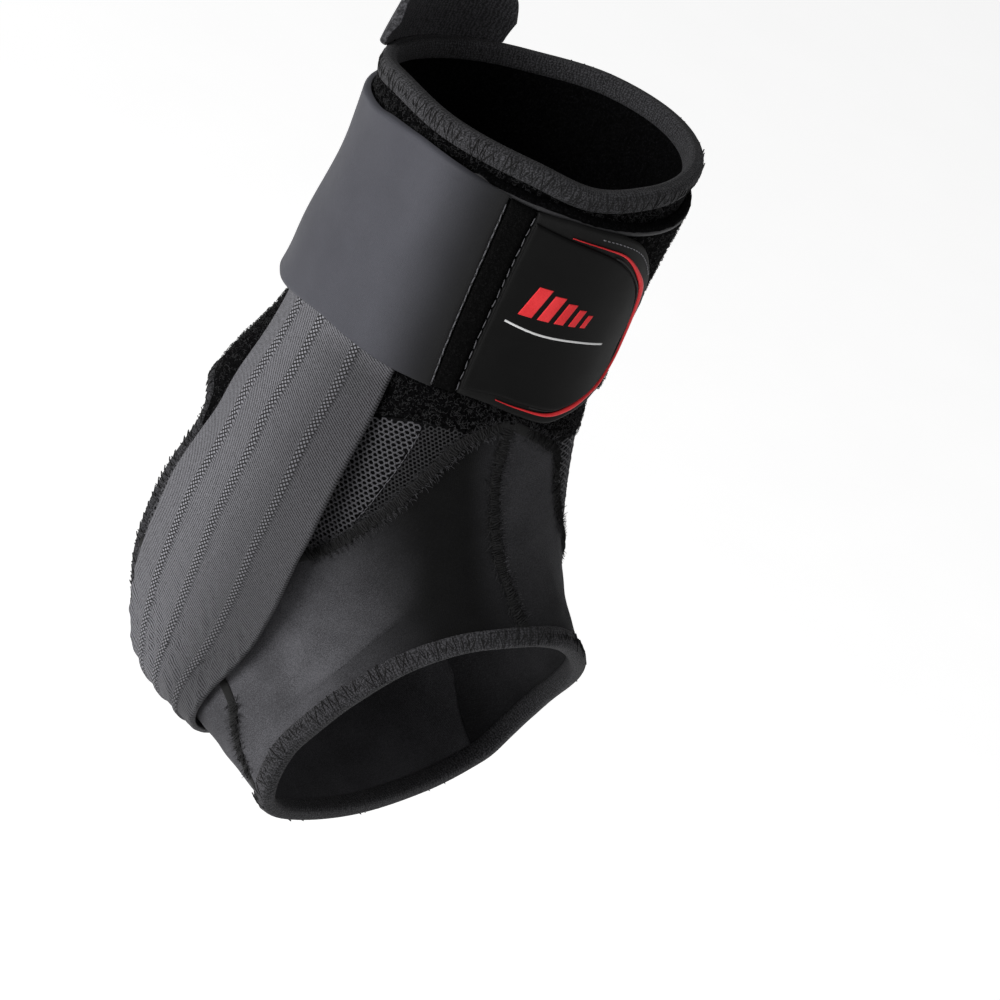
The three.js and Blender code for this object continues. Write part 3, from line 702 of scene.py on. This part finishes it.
STRANDS = node_tree("knitted_strands", (("Radius", "Float"), ("Sides", "Int")), (
    ("curve", "GeometryNodeMeshToCurve"),
    ("ring", "GeometryNodeCurvePrimitiveCircle"),
    ("tube", "GeometryNodeCurveToMesh", {}, {"Fill Caps": True})), (
    ("given", "Geometry", "curve", "Mesh"), ("given", "Radius", "ring", "Radius"),
    ("given", "Sides", "ring", "Resolution"), ("curve", "Curve", "tube", "Curve"),
    ("ring", "Curve", "tube", "Profile Curve")), ("tube", "Mesh"))


def grow(name, points, edges, tree, inputs, slot, headings=None):
    """What a tree grows on bare points or edges, as one plain piece."""
    mesh = bpy.data.meshes.new(name + "_base")
    mesh.from_pydata((points * MM).tolist(), edges, [])
    for key, data in (headings or {}).items():
        layer = mesh.attributes.new(key, "FLOAT_VECTOR", "POINT")
        layer.data.foreach_set("vector", data.astype(np.float32).ravel())
    base = bpy.data.objects.new(name + "_base", mesh)
    bpy.context.scene.collection.objects.link(base)
    modifier = base.modifiers.new("grown", "NODES")
    modifier.node_group = tree
    for item in tree.interface.items_tree:
        if item.in_out == "INPUT" and item.name in inputs:
            modifier[item.identifier] = inputs[item.name]
    bpy.context.view_layer.update()
    plain = bpy.data.meshes.new_from_object(base.evaluated_get(bpy.context.evaluated_depsgraph_get()))
    bpy.data.objects.remove(base)
    for key in headings or {}:
        if key in plain.attributes:
            plain.attributes.remove(plain.attributes[key])
    return settle(bpy.data.objects.new(name, plain), slot)


def tube_shape(points, radius, sides):
    """A small open thread in its own frame: x along the seam, y across, z up, in millimetres."""
    tangent = unit(np.gradient(points, axis=0))
    helper = np.where(np.abs(tangent[:, 2:3]) > 0.9, [[1.0, 0, 0]], [[0, 0, 1.0]])
    side = unit(np.cross(tangent, helper))
    up = np.cross(side, tangent)
    turn = np.linspace(0, 2 * math.pi, sides, endpoint=False)
    thick = np.broadcast_to(radius, len(points))[:, None]
    ring = (points[:, None] + side[:, None] * (np.cos(turn) * thick)[..., None]
            + up[:, None] * (np.sin(turn) * thick)[..., None])
    index = np.arange(ring.size // 3).reshape(-1, sides)
    index = np.concatenate([index, index[:, :1]], 1)
    a, b, c, d = quads(index)
    faces = np.stack([a, d, c, b], -1).reshape(-1, 4).tolist()
    faces += [index[0, :-1][::-1].tolist(), index[-1, :-1].tolist()]
    mesh = bpy.data.meshes.new("stitch")
    mesh.from_pydata((ring.reshape(-1, 3) * MM).tolist(), [], faces)
    obj = bpy.data.objects.new("stitch", mesh)
    bpy.context.scene.collection.objects.link(obj)
    return obj


def sew(name, finish, roots, stitch, least, most, tilt, seed, slot="seam_thread"):
    """One small shape at every point, turned to the seam and the cloth, as one plain mesh."""
    points, along, out = roots
    inputs = {"Stitch": stitch, "Least": least, "Most": most, "Tilt": tilt, "Seed": seed, "Finish": finish}
    grow(name, points, [], SEWING, inputs, slot, {"along": along, "out": out})
    bpy.data.objects.remove(stitch)


# The sleeve: cuff, mesh panels, foot panels and sole
rim_row = girth(RIM)
foot_row = girth(FOOT_RIM)
heel_loop = loop(HEEL_RIM)
front_line = line(FRONT_SEAM)


def flipped(rows):
    return [(-angle, row) for angle, row in rows]


def turned(rows):
    return [(360 + angle, row) for angle, row in rows][::-1]


tucked = [(angle, row + CUFF_TUCK) for angle, row in CUFF_BACK]
cuff_foot_row = girth([FRONT_SEAM[0], *MESH_TOP_OUTER, *tucked, *turned(MESH_TOP_INNER)])


def row_height(angle, row):
    return np.linalg.norm(skin(angle, row + 0.5) - skin(angle, row - 0.5), axis=-1)


def cuff_place(u, v):
    angle = 360 * u
    top, end = rim_row(angle), cuff_foot_row(angle)
    top = top + BINDING_CLEAR / row_height(angle, top)
    end = end - SEAM_CLEAR / row_height(angle, end)
    return angle, mix(top, end, v)


def foot_edge(a, b):
    def at(share):
        angle = mix(a, b, share)
        return np.stack([angle, foot_row(angle)], -1)
    return at


def uneven(place, size, depth, seed):
    """A soft relief of about `depth` millimetres, from crossed sines with their own turns."""
    rng = np.random.default_rng(seed)
    turns = rng.uniform(0, 2 * math.pi, (SWELLS, 3))
    ways = rng.normal(size=(SWELLS, 3)) / size

    def relief(u, v, along, across):
        points = skin(*place(u, v))
        total = sum(np.sin(points @ way * 2 * math.pi + turn[0]) for way, turn in zip(ways, turns))
        return depth * (total / 4)
    return relief


cuff = cloth("cuff_pile", LOOP_PILE, cuff_place, 0.0, SLEEVE_WALL, shares(260), shares(70, 0.03),
             "loop_fabric", "cuff", ring=True, relief=uneven(cuff_place, 2.2, 0.16, 3))
foot_sides = (("outer", MESH_TOP_OUTER, SEAM_OUTER, SOLE_SEAM),
              ("inner", MESH_TOP_INNER, SEAM_INNER, flipped(SOLE_SEAM)))


def outer_foot_painted_light(u, v, along, across):
    """Painted light towards the strap, and a little at the front; painted shade elsewhere."""
    return smooth(u + 0.12 * v, 0.34, 0.86) + 0.35 * (1 - 0.6 * v) * (1 - smooth(u, 0.0, 0.14))


# The inner half is painted lighter near its mesh seam and fades to painted shade towards the foot binding
foot_painted_light = {"outer": outer_foot_painted_light, "inner": lambda u, v, along, across: 0.6 - 0.38 * v}
sheets = {}
for side, mesh_top, seam, sole_seam in foot_sides:
    mesh_place = panel(line(mesh_top), line(seam), straight(mesh_top[0], seam[0]),
                       straight(mesh_top[-1], seam[-1]), (SEAM_CLEAR, HEEL_CLEAR, SEAM_CLEAR, SEAM_CLEAR))
    sheets["ground", side] = cloth(f"mesh_ground_{side}", MESH_GROUND, mesh_place, 0.0, MESH_WALL,
                                   shares(90, 0.02), shares(60, 0.02), "mesh_fabric",
                                   f"mesh_panel_{side}")
    foot_place = panel(line([FRONT_SEAM[0], *seam]), foot_edge(FRONT_SEAM[-1][0], sole_seam[-1][0]),
                       front_line, joined(straight(seam[-1], sole_seam[0]), line(sole_seam), HEEL_CORNER),
                       (SEAM_CLEAR, SEAM_CLEAR, SEAM_CLEAR, BINDING_CLEAR))
    sheets["half", side] = cloth(f"foot_half_{side}", FOAM_JERSEY, foot_place, 0.0, SLEEVE_WALL,
                                 shares(110, 0.02), shares(90, 0.02), "sleeve_fabric",
                                 f"foot_panel_{side}", relief=uneven(foot_place, 13.0, 0.22, 5),
                                 values={"painted_light": foot_painted_light[side]})
under_sole = [(360 - angle, row) for angle, row in SOLE_SEAM]
heel_shares = [start / len(HEEL_RIM) for start in SOLE_STARTS]
sole_place = panel(line(SOLE_SEAM), line(under_sole), part_of(heel_loop, *heel_shares),
                   foot_edge(SOLE_SEAM[-1][0], under_sole[-1][0]),
                   (HEEL_CLEAR, BINDING_CLEAR, -SOLE_LAP, -SOLE_LAP))
# The sole takes the jersey's painted-light colour almost throughout
sole = cloth("sole_sheet", FOAM_JERSEY, sole_place, -SOLE_DROP, SLEEVE_WALL, shares(90, 0.02),
             shares(70, 0.02), "sleeve_fabric", "sole_panel", relief=uneven(sole_place, 13.0, 0.2, 9),
             values={"painted_light": lambda u, v, along, across: 0.9})

# Knitted bindings: name, line, width, depth, the section's sides and squareness, steps
BINDINGS = (("top", round_leg(rim_row), BINDING_WIDTH, BINDING_DEPTH, 28, 3.2, 420),
            ("foot", round_leg(foot_row), BINDING_WIDTH, BINDING_DEPTH, 28, 3.2, 460),
            ("heel", heel_loop, HEEL_BINDING_WIDTH, HEEL_BINDING_DEPTH, 20, 2.0, 320))
for name, path, width, depth, sides, power, steps in BINDINGS:
    rope(f"{name}_knit", RIBBON, path, SLEEVE_WALL / 2, oval(width, depth, sides, power), steps,
         "binding_knit", f"{name}_binding", closed=True)

# Overlocked seams: name, line, part under the loops, part of the flat bed of thread
SEAMS = [("front_seam", front_line, (0.03, 0.93), (0.005, 0.97))]
for side, _, seam, sole_seam in foot_sides:
    SEAMS += [(f"panel_seam_{side}", line([FRONT_SEAM[0], *seam]), (0.06, 0.66), (0.01, 0.993)),
              (f"sole_seam_{side}", line(sole_seam), (0.42, 0.88), (0.02, 0.98))]
for name, path, _, whole in SEAMS:
    rope(name + "_bed", GROOVE_THREAD, part_of(path, *whole), SLEEVE_WALL + 0.02,
         oval(SEAM_WIDTH - 1.0, 0.5, 12), 200, "seam_thread", name)

# Stirrup strap
strap_place = ladder([*STIRRUP, *STIRRUP_SOLE, *[(360 - a, b, 360 - c, d) for a, b, c, d in STIRRUP[::-1]]])
standoff = line([*STIRRUP_STANDOFF, 0, *STIRRUP_STANDOFF[::-1]])
puckered = line([*STIRRUP_PUCKER, STIRRUP_PUCKER[-1], *STIRRUP_PUCKER[::-1]])


def strap_low(u, v):
    return STRAP_LIFT + STIRRUP_BRIDGE * standoff(u)[..., 0] * (1 - v) ** 2


def from_rib(across, rib):
    return np.abs(across - rib * across[:, -1:])


def rib_share(across):
    return sum(1 - smooth(from_rib(across, rib), RIB_HALF - 0.25, RIB_HALF + 0.2) for rib in RIBS)


def strap_relief(u, v, along, across):
    """Raised ribs, and puckers between them towards the sole."""
    between_ribs = np.prod([smooth(from_rib(across, rib), 0.8, 2.6) for rib in RIBS], axis=0)
    drift = 2.2 * np.sin(across * 0.45 + along * 0.05) + 1.4 * np.sin(across * 0.23 - along * 0.11)
    ripple = (np.sin((along + drift) * 2 * math.pi / RIPPLE)
              + 0.45 * np.sin((along - drift) * 2 * math.pi / FINE_RIPPLE + across))
    patches = 0.6 + 0.4 * np.sin(along * 0.31 + across * 0.5)
    puckers = PUCKER_DEPTH * puckered(u)[..., 0] * between_ribs * patches * ripple
    return RIB_HEIGHT * rib_share(across) + puckers


def strap_painted_light(u, v, along, across):
    """Painted light towards the heel edge and right below the wrap, on both ends alike; painted shade
    towards the front edge.
    """
    ends = 1 - smooth(np.minimum(u, 1 - u), 0.015, 0.05)
    return np.clip(smooth(v, 0.12, 0.75) + ends, 0, 1)


strap = cloth("stirrup_elastic", ELASTIC, strap_place, strap_low, STRAP_WALL, shares(420), shares(96, 0.03),
              "strap_elastic", "stirrup_strap", rounding=0.9, relief=strap_relief,
              values={"rib": lambda u, v, along, across: rib_share(across), "painted_light": strap_painted_light})

# Wraps, band and patch
wrap_place, inner_wrap_place, patch_place = ladder(OUTER_WRAP), ladder(INNER_WRAP), ladder(PATCH)
inner_wrap = cloth("inner_wrap_pile", LOOP_PILE, inner_wrap_place, INNER_WRAP_LIFT,
                   INNER_WRAP_TOP - INNER_WRAP_LIFT, shares(220, 0.012), shares(70, 0.03), "loop_fabric",
                   "inner_wrap", relief=uneven(inner_wrap_place, 4.0, 0.1, 11))
wrap_swell = uneven(wrap_place, 26.0, 0.2, 13)


def wrap_relief(u, v, along, across):
    """Soft swell, drawn down towards the stitched groove at its front end."""
    return wrap_swell(u, v, along, across) + 0.25 - 1.1 * np.exp(-((along - 1.0) / 5.5) ** 2)


def wrap_low(u, v):
    """The wrap hugs the cuff along its top edge, between the inner wrap's two ends."""
    angle = wrap_place(u, v)[0]
    hug = smooth(angle, 70, 92) * (1 - smooth(angle, 262, 284)) * (1 - smooth(v, 0.2, 0.8))
    return OUTER_WRAP_LIFT - (OUTER_WRAP_LIFT - SLEEVE_WALL - WRAP_HUG) * hug


# The wrap's painted light rises over its first 19 mm: painted shade next to the stitched groove
outer_wrap = cloth("outer_wrap_cloth", SMOOTH_WRAP, wrap_place, wrap_low, WRAP_WALL, shares(240, 0.006),
                   shares(80, 0.03), "wrap_fabric", "outer_wrap", relief=wrap_relief,
                   values={"painted_light": lambda u, v, along, across: smooth(along, -1.0, 19.0)})
band = cloth("stitched_band", LOOP_BAND, ladder(BAND), OUTER_WRAP_LIFT, WRAP_WALL, shares(24, 0.15),
             shares(120, 0.02), "loop_fabric", "wrap_band", rounding=1.6)
cloth("closure_flange", FLANGE_RUBBER, patch_place, OUTER_WRAP_LIFT, FLANGE_WALL, shares(120, 0.02),
      shares(90, 0.02), "patch_rubber", "closure_patch", rounding=0.8)
cloth("closure_pad", PATCH_RUBBER, ladder(PAD), OUTER_WRAP_LIFT + FLANGE_WALL + 0.02, WRAP_WALL * 0.4,
      shares(130, 0.02), shares(100, 0.02), "patch_rubber", rounding=0.9)
piping_path = line(PIPING)


def piping_taper(share, profile):
    """Thin at both ends, fullest at the patch's two corners."""
    corners = np.maximum(np.exp(-((share - 0.3) / 0.1) ** 2), np.exp(-((share - 0.8) / 0.14) ** 2))
    full = 0.12 + 0.88 * smooth(np.minimum(share, 1 - share), 0, 0.3) * (0.62 + 0.38 * corners)
    return (full[:, None] - 1) * profile[None, :, 0], (full[:, None] - 1) * 0.7 * profile[None, :, 1]


rope("raised_line", RED_RUBBER, piping_path, WRAP_TOP - 0.35, oval(PIPING_WIDTH * 1.2, 1.1, 16), 260,
     "piping_red", "edge_piping", wobble=piping_taper)

# Pull tab at the back
tab = cloth("tab_ribbon", TAB_RIBBON, ladder(HEEL_TAB), TAB_LIFT, TAB_WALL, shares(110, 0.03),
            shares(40, 0.06, 0.04), "binding_knit", "heel_tab", rounding=1.0,
            lean=lambda u, v: -TAB_LEAN * (1 - v) ** 1.5 - TAB_TUCK * v)

# Every sewn or stretched cloth, with what it lies on and the narrow trims on it, only listed
for sheet, rests, trims in (
        (cuff, ["top_knit", "heel_knit"], ()),
        (sheets["ground", "outer"], ["heel_knit", "foot_half_outer"], ()),
        (sheets["ground", "inner"], ["heel_knit", "foot_half_inner"], ()),
        (sheets["half", "outer"], ["foot_knit", "sole_sheet"], ()),
        (sheets["half", "inner"], ["foot_knit", "sole_sheet"], ()),
        (sole, ["heel_knit", "foot_knit"], ()),
        (strap, ["cuff_pile", "sole_sheet"], ()),
        (inner_wrap, ["cuff_pile"], [band]),
        (outer_wrap, ["inner_wrap_pile", "stirrup_elastic"], ()),
        (tab, ["cuff_pile", "top_knit"], ())):
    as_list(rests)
    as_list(trims)


# Honeycomb net over the dark ground: strands along the edges of a lattice laid on it
def laid_on_skin(spots, centre):
    """Angle and row under the points of a flat drawing held against the surface at `centre`."""
    angle, row = np.full(len(spots), centre[0], float), np.full(len(spots), centre[1], float)
    out = normal_at(*centre)
    ahead = unit(skin(centre[0] - 0.5, centre[1]) - skin(centre[0] + 0.5, centre[1]))
    ahead = unit(ahead - out * (ahead @ out))
    up = np.cross(out, ahead)
    middle = skin(*centre)

    def seen(a, r):
        p = skin(a, r) - middle
        return np.stack([p @ ahead, p @ up], -1)

    def crossed(a, b):
        return a[:, 0] * b[:, 1] - a[:, 1] * b[:, 0]

    for _ in range(LAY_ROUNDS):
        here = seen(angle, row)
        by_angle, by_row = seen(angle + 0.5, row) - here, seen(angle, row + 0.02) - here
        miss = spots - here
        det = crossed(by_angle, by_row)
        det = np.where(np.abs(det) < 1e-6, 1e-6, det)
        angle += np.clip(crossed(miss, by_row) / det, -20, 20) * 0.5
        row = np.clip(row + np.clip(crossed(by_angle, miss) / det, -20, 20) * 0.02, 0, 8)
    return angle, row, np.linalg.norm(spots - seen(angle, row), axis=-1) < LAY_MISS


def honeycomb(pitch, squash, turn, reach):
    """Corners and edges of a honeycomb, turned in its plane."""
    count = int(reach / pitch) + 1
    i, j = np.meshgrid(np.arange(-count, count + 1), np.arange(-count, count + 1), indexing="ij")
    hubs = np.stack([(i + (j % 2) / 2) * pitch, j * (pitch * math.sqrt(3) / 2)], -1).reshape(-1, 1, 2)
    turns = np.radians(np.arange(6) * 60 + 30)
    flat = (hubs + pitch / math.sqrt(3) * np.stack([np.cos(turns), np.sin(turns)], -1)).reshape(-1, 2)
    _, first, inverse = np.unique(np.round(flat / pitch * 50).astype(int), axis=0, return_index=True,
                                  return_inverse=True)
    ring = inverse.reshape(-1, 6)
    edges = np.unique(np.sort(np.stack([ring, np.roll(ring, -1, 1)], -1).reshape(-1, 2), axis=1), axis=0)
    c, s = math.cos(turn), math.sin(turn)
    return flat[first] * (1, squash) @ np.array([[c, s], [-s, c]]), edges


def between(top_rows, seam_rows, low, high, margin=0.01):
    top, foot = np.array(sorted(top_rows)), np.array(sorted(seam_rows))

    def inside(angle, row):
        above = np.interp(angle, top[:, 0], top[:, 1])
        below = np.interp(angle, foot[:, 0], foot[:, 1])
        return (angle > low) & (angle < high) & (row > above + margin) & (row < below - margin)
    return inside


def behind_stay(angle, row):
    angles, rows = np.transpose(STAY)
    return angle > np.interp(row, rows, angles)


outer_area = between(MESH_TOP_OUTER, SEAM_OUTER, 36, 129.5)
inner_area = between(turned(MESH_TOP_INNER), turned(SEAM_INNER), 230.5, 351)
# Name, finish, centre, where it lies, pitch, squash, turn, reach, height, radius of a strand
NETS = (("outer", MESH_STRAND, (86, 4.2), lambda a, r: outer_area(a, r) & behind_stay(a, r),
         1.4, 0.92, NET_TURN, 62, 1.95, 0.24),
        ("front", DARK_STRAND, (50, 3.4), lambda a, r: outer_area(a, r) & ~behind_stay(a, r),
         1.1, 0.95, NET_TURN, 26, 1.75, 0.2),
        ("inner", MESH_STRAND, (278, 4.2), inner_area, 1.4, 0.92, -NET_TURN, 62, 1.95, 0.24))
for name, finish, centre, inside, pitch, squash, turn, reach, height, radius in NETS:
    spots, edges = honeycomb(pitch, squash, turn, reach)
    rng = np.random.default_rng(len(spots))
    angle, row, found = laid_on_skin(spots + rng.normal(0, pitch * 0.035, spots.shape), centre)
    edges = edges[(found & inside(angle, row))[edges].all(axis=1)]
    used, packed = np.unique(edges, return_inverse=True)
    points = shell(angle[used], row[used], height + rng.uniform(-0.16, 0.16, len(used)))
    grow(f"mesh_net_{name}", points, packed.reshape(-1, 2).tolist(), STRANDS,
         {"Radius": radius * MM, "Sides": 5, "Finish": finish}, "mesh_fabric")


# Seams, stitches and fibres, each drawn once in millimetres
def pile_loop(width, height, radius):
    """One loop of the pile: up, over and down again."""
    t = np.linspace(0, math.pi, 4)
    points = np.stack([width / 2 * np.cos(t), 0.3 * width * np.sin(2 * t), height * np.sin(t) - radius], -1)
    return tube_shape(points, radius, 3)


def fringe(length, bend, radius):
    """One loose fibre lying outward along x and lifting off the cloth."""
    t = np.linspace(0, 1, 4)
    points = np.stack([length * t, bend * np.sin(2.5 * t) * t, 0.4 * length * t ** 1.5], -1)
    return tube_shape(points, radius * (1 - 0.65 * t), 3)


def zigzag(pitch, width, radius):
    """One turn of a zigzag: over to one edge and back."""
    x = pitch * np.array([-0.5, -0.25, 0.0, 0.25, 0.5])
    y = width * np.array([-1, 0.0, 1, 0.0, -1])
    z = radius * np.array([-0.6, 0.8, -0.6, 0.8, -0.6]) - 0.09 * (y / width) ** 2 * width
    return tube_shape(np.stack([x, y, z], -1), radius, 4)


def dash(length, radius, rise, bits=7, sides=6):
    """One stitch: it comes out of the cloth, lies on it and goes in again."""
    t = np.linspace(-1, 1, bits)
    points = np.stack([length / 2 * t, 0 * t, rise * (1 - t ** 4) - radius], -1)
    return tube_shape(points, radius * (1 - 0.35 * t ** 4), sides)


def overlock_loop(width, pitch, radius, rise):
    """One overlock loop across a seam: over, round the edge and slanting back."""
    y = width / 2 * np.array([-1, -0.75, -0.1, 0.65, 1.0, 0.8, 0.1, -0.6, -0.95])
    x = pitch * np.array([-0.45, -0.4, -0.2, -0.05, 0.12, 0.3, 0.38, 0.45, 0.5])
    z = rise * np.array([0.0, 0.7, 1.0, 0.75, 0.2, 0.8, 1.05, 0.75, 0.1])
    return tube_shape(np.stack([x, y, z], -1), radius, 4)


def spots_along(path, pitch, height, offset=0.0, spread=0.0, shake=0.0, closed=False, seed=3):
    """Points at a pitch along a line, set over to one side, with the line's and the cloth's directions."""
    rng = np.random.default_rng(seed)
    fine, p, *_ = frames(path, 600, closed)
    run = run_lengths(np.concatenate([p, p[:1]]) if closed else p, 0)
    count = max(int(run[-1] / pitch), 1)
    at = (np.arange(count) + 0.5) * run[-1] / count + rng.uniform(-shake, shake, count) * pitch
    share = np.interp(np.clip(at, 0, run[-1]), run, np.append(fine, 1.0) if closed else fine)
    here, ahead, behind = (np.moveaxis(path(np.clip(share + step, 0.0, 1.0)), -1, 0)
                           for step in (0.0, 0.002, -0.002))
    tangent = unit(skin(*ahead) - skin(*behind))
    normal = normal_at(*here)
    side = unit(np.cross(tangent, normal))
    points = skin(*here) + normal * height
    points += side * (offset + rng.uniform(-spread, spread, count))[:, None]
    return points, tangent, normal, side


for number, (name, path, seam_part, _) in enumerate(SEAMS):
    path = part_of(path, *seam_part)
    loops = spots_along(path, 0.72, SEAM_TOP, spread=0.25, shake=0.3, seed=number)
    sew(name + "_loops", SERGE_THREAD, loops[:3], overlock_loop(SEAM_WIDTH - 0.9, 1.0, 0.19, 0.45),
        (0.7, 0.65, 0.6), (1.3, 1.2, 1.3), (0.2, 0.2, 0.4), number)
    for way, letter in ((-1, "a"), (1, "b")):
        roots = spots_along(path, FRINGE_PITCH, SEAM_TOP - 0.1, way * (SEAM_WIDTH / 2 - 0.9), 0.8, 0.5,
                            seed=20 + number)
        tufts = np.sin(np.arange(len(roots[0])) * FRINGE_PITCH * 2 * math.pi / TUFT_PITCH) > -0.15
        points, _, normal, side = (part[tufts] for part in roots)
        lit = FRINGE_DARK if name == "front_seam" and way > 0 else FRINGE_THREAD
        sew(f"{name}_fringe_{letter}", lit, (points, side * way, normal), fringe(1.6, 0.5, 0.13),
            (0.4, 0.6, 0.6), (1.3, 1.2, 1.3), (0.4, 0.35, 0.6), 40 + number)


def border(share):
    along = mix(0.3, 0.78, share)
    return np.stack(patch_place(along, 0.035 + 0 * along), -1)


# Stitch lines: name, thread, line, pitch, height, shift along it, stitch, least, most, tilt, seed
EVEN = (1, 1, 1)
groove = straight((53.0, 0.62), (53.0, 2.39))
STITCHES = (
    ("wrap_stitches", GREY_THREAD, groove, 2.55, WRAP_TOP - 0.62, 0, (2.3, 0.17, 0.34), (0.92, 0.9, 0.9),
     (1.03, 1.1, 1.1), (0.05, 0.05, 0.12), 1),
    ("wrap_stitch_holes", DARK_THREAD, groove, 2.55, WRAP_TOP - 0.72, 1.27, (0.9, 0.3, 0.3), EVEN, EVEN,
     (0, 0, 0), 1),
    ("band_stitches", GREY_THREAD, straight((43.2, 0.62), (44.6, 2.37)), 2.9, WRAP_TOP - 0.68, 0,
     (2.4, 0.12, 0.34), (0.9, 0.9, 0.9), (1.05, 1.1, 1.1), (0.04, 0.04, 0.1), 4),
    ("border_stitches", PALE_THREAD, border, 1.05, OUTER_WRAP_LIFT + FLANGE_WALL, 0, (0.85, 0.13, 0.2),
     (0.8, 0.9, 0.9), (1.1, 1.1, 1.1), (0.05, 0.05, 0.1), 6),
    ("stay_stitches", STAY_THREAD, line(STAY), 1.5, 2.2, 0, (1.45, 0.12, 0.25, 5, 5), (0.9, 0.8, 0.9),
     (1.1, 1.1, 1.1), (0.1, 0.1, 0.2), 8))
for name, finish, path, pitch, height, shift, sizes, *spread in STITCHES:
    points, along, out, _ = spots_along(path, pitch, height)
    sew(name, finish, (points + along * shift, along, out), dash(*sizes), *spread)

# Zigzag on the bindings
for name, path, width, depth, *_ in BINDINGS:
    turns = spots_along(path, ZIGZAG_PITCH, SLEEVE_WALL / 2 + depth / 2 - 0.02, closed=True, shake=0.3)
    sew(f"{name}_zigzag", ZIGZAG_THREAD, turns[:3], zigzag(ZIGZAG_PITCH, width * 0.38, 0.17),
        (0.8, 0.6, 0.7), (1.2, 1.25, 1.1), (0.06, 0.06, 0.35), 12)

# Loop pile where the brushed fabric shows: name, cloth, its part, loops, height, seed, a loop's height, most
PILES = (
    ("cuff_pile_top", cuff_place, (0.0, 1.0), (0.0, 0.16), 5200, SLEEVE_WALL, 31, 0.55, (1.3, 1.3, 1.4)),
    ("cuff_pile_low", cuff_place, (0.0, 1.0), (0.62, 0.995), 8200, SLEEVE_WALL, 33, 0.55, (1.3, 1.3, 1.4)),
    ("inner_wrap_pile_loops", inner_wrap_place, (0.03, 0.99), (0.05, 0.98), 5600, INNER_WRAP_TOP, 35, 0.5,
     (1.3, 1.3, 1.1)))
for name, place, u_span, v_span, count, height, seed, loop_height, most in PILES:
    rng = np.random.default_rng(seed)
    angle, row = place(rng.uniform(*u_span, count), rng.uniform(*v_span, count))
    normal = normal_at(angle, row)
    flat = rng.normal(size=(count, 3))
    heading = unit(flat - normal * (flat * normal).sum(-1, keepdims=True))
    sew(name, PILE_THREAD, (skin(angle, row) + normal * (height - 0.05), heading, normal),
        pile_loop(0.9, loop_height, 0.075), (0.6, 0.7, 0.5), most, (0.5, 0.5, 0.6), seed + 1, "loop_fabric")


# Edge line of the inner wrap, and the motif on the patch
def wrap_edge(share):
    u = mix(0.05, 0.97, share)
    return np.stack(inner_wrap_place(u, 0.035 + 0 * u), -1)


def inside_piping(share):
    centre = np.array([14.0, 1.5])
    return centre + (piping_path(mix(0.12, 0.9, share)) - centre) * 0.94


rope("inner_wrap_edge", EDGE_TAPE, wrap_edge, INNER_WRAP_TOP - 0.1, oval(1.2, 0.6, 12), 200, "loop_fabric")
for number, (left, right, high, low) in enumerate(MOTIF):
    slant = 3.2 * (low - high) / 0.28
    bar = ladder([(left - slant, high, left, low), (right - slant, high, right, low)])
    cloth(f"motif_bar_{number + 1}", RED_RUBBER, bar, PAD_TOP - 0.05, 0.2, shares(8, 0.15),
          shares(12, 0.1), "piping_red", rounding=0.18)
rope("motif_line", PALE_RUBBER, line(MOTIF_LINE), PAD_TOP, oval(0.55, 0.16, 8), 60, "patch_rubber")
# A low ridge just inside the piping, lighter than the patch: a real ridge whose colour is partly a painted
# highlight
rope("patch_inner_line", PATCH_RIDGE_HIGHLIGHT, inside_piping, PAD_TOP - 0.3, oval(0.45, 0.3, 8), 180, "patch_rubber")

# Camera at the photograph's angle, aimed by turning it and not by shifting
TURN, LOOK_DOWN, ROLL = math.radians(53.669), math.radians(26.726), math.radians(24.637)
DISTANCE = 1.117976
FOCAL = 4349.0
PHOTO = 1000.0
ORIGIN_AT = (373.885, 483.991)
SENSOR = 36.0


def place_camera():
    level = Vector((math.cos(TURN), -math.sin(TURN), 0))
    sight = Vector((math.sin(TURN), math.cos(TURN), 0))
    rise = sight * math.sin(LOOK_DOWN) + Vector((0, 0, math.cos(LOOK_DOWN)))
    back = Vector((0, 0, math.sin(LOOK_DOWN))) - sight * math.cos(LOOK_DOWN)
    right = level * math.cos(ROLL) + rise * math.sin(ROLL)
    up = rise * math.cos(ROLL) - level * math.sin(ROLL)
    x, y = (ORIGIN_AT[0] - PHOTO / 2) / FOCAL, (PHOTO / 2 - ORIGIN_AT[1]) / FOCAL
    away = (back + x * right + y * up).normalized()
    right = (right - away * right.dot(away)).normalized()
    lens = bpy.data.cameras.new("camera")
    lens.sensor_width = SENSOR
    lens.lens = FOCAL / PHOTO * SENSOR
    camera = bpy.data.objects.new("camera", lens)
    camera.matrix_world = (Matrix.Translation(back * DISTANCE)
                           @ Matrix((right, away.cross(right), away)).transposed().to_4x4())
    bpy.context.scene.collection.objects.link(camera)
    bpy.context.scene.camera = camera


def soft_light(name, place, size, power):
    light = bpy.data.lights.new(name, "AREA")
    light.energy, light.size = power, size
    lamp = bpy.data.objects.new(name, light)
    place = Vector(place)
    lamp.matrix_world = Matrix.Translation(place) @ place.to_track_quat("Z", "Y").to_matrix().to_4x4()
    bpy.context.scene.collection.objects.link(lamp)


def studio():
    bpy.ops.mesh.primitive_plane_add(size=6, location=(0, 0, -0.36))
    ground = bpy.context.object
    ground.name = "floor"
    ground.data.materials.append(studio_floor())
    world = bpy.data.worlds.new("studio")
    world.use_nodes = True
    sky = world.node_tree.nodes["Background"]
    sky.inputs["Color"].default_value = (1, 1, 1, 1)
    sky.inputs["Strength"].default_value = 0.32
    bpy.context.scene.world = world
    soft_light("key", (-1.9, 0.4, 0.55), 1.2, 46)
    soft_light("side", (0.9, -1.4, 0.9), 0.7, 1.5)


place_camera()
studio()
bpy.context.scene.view_settings.view_transform = "Standard"
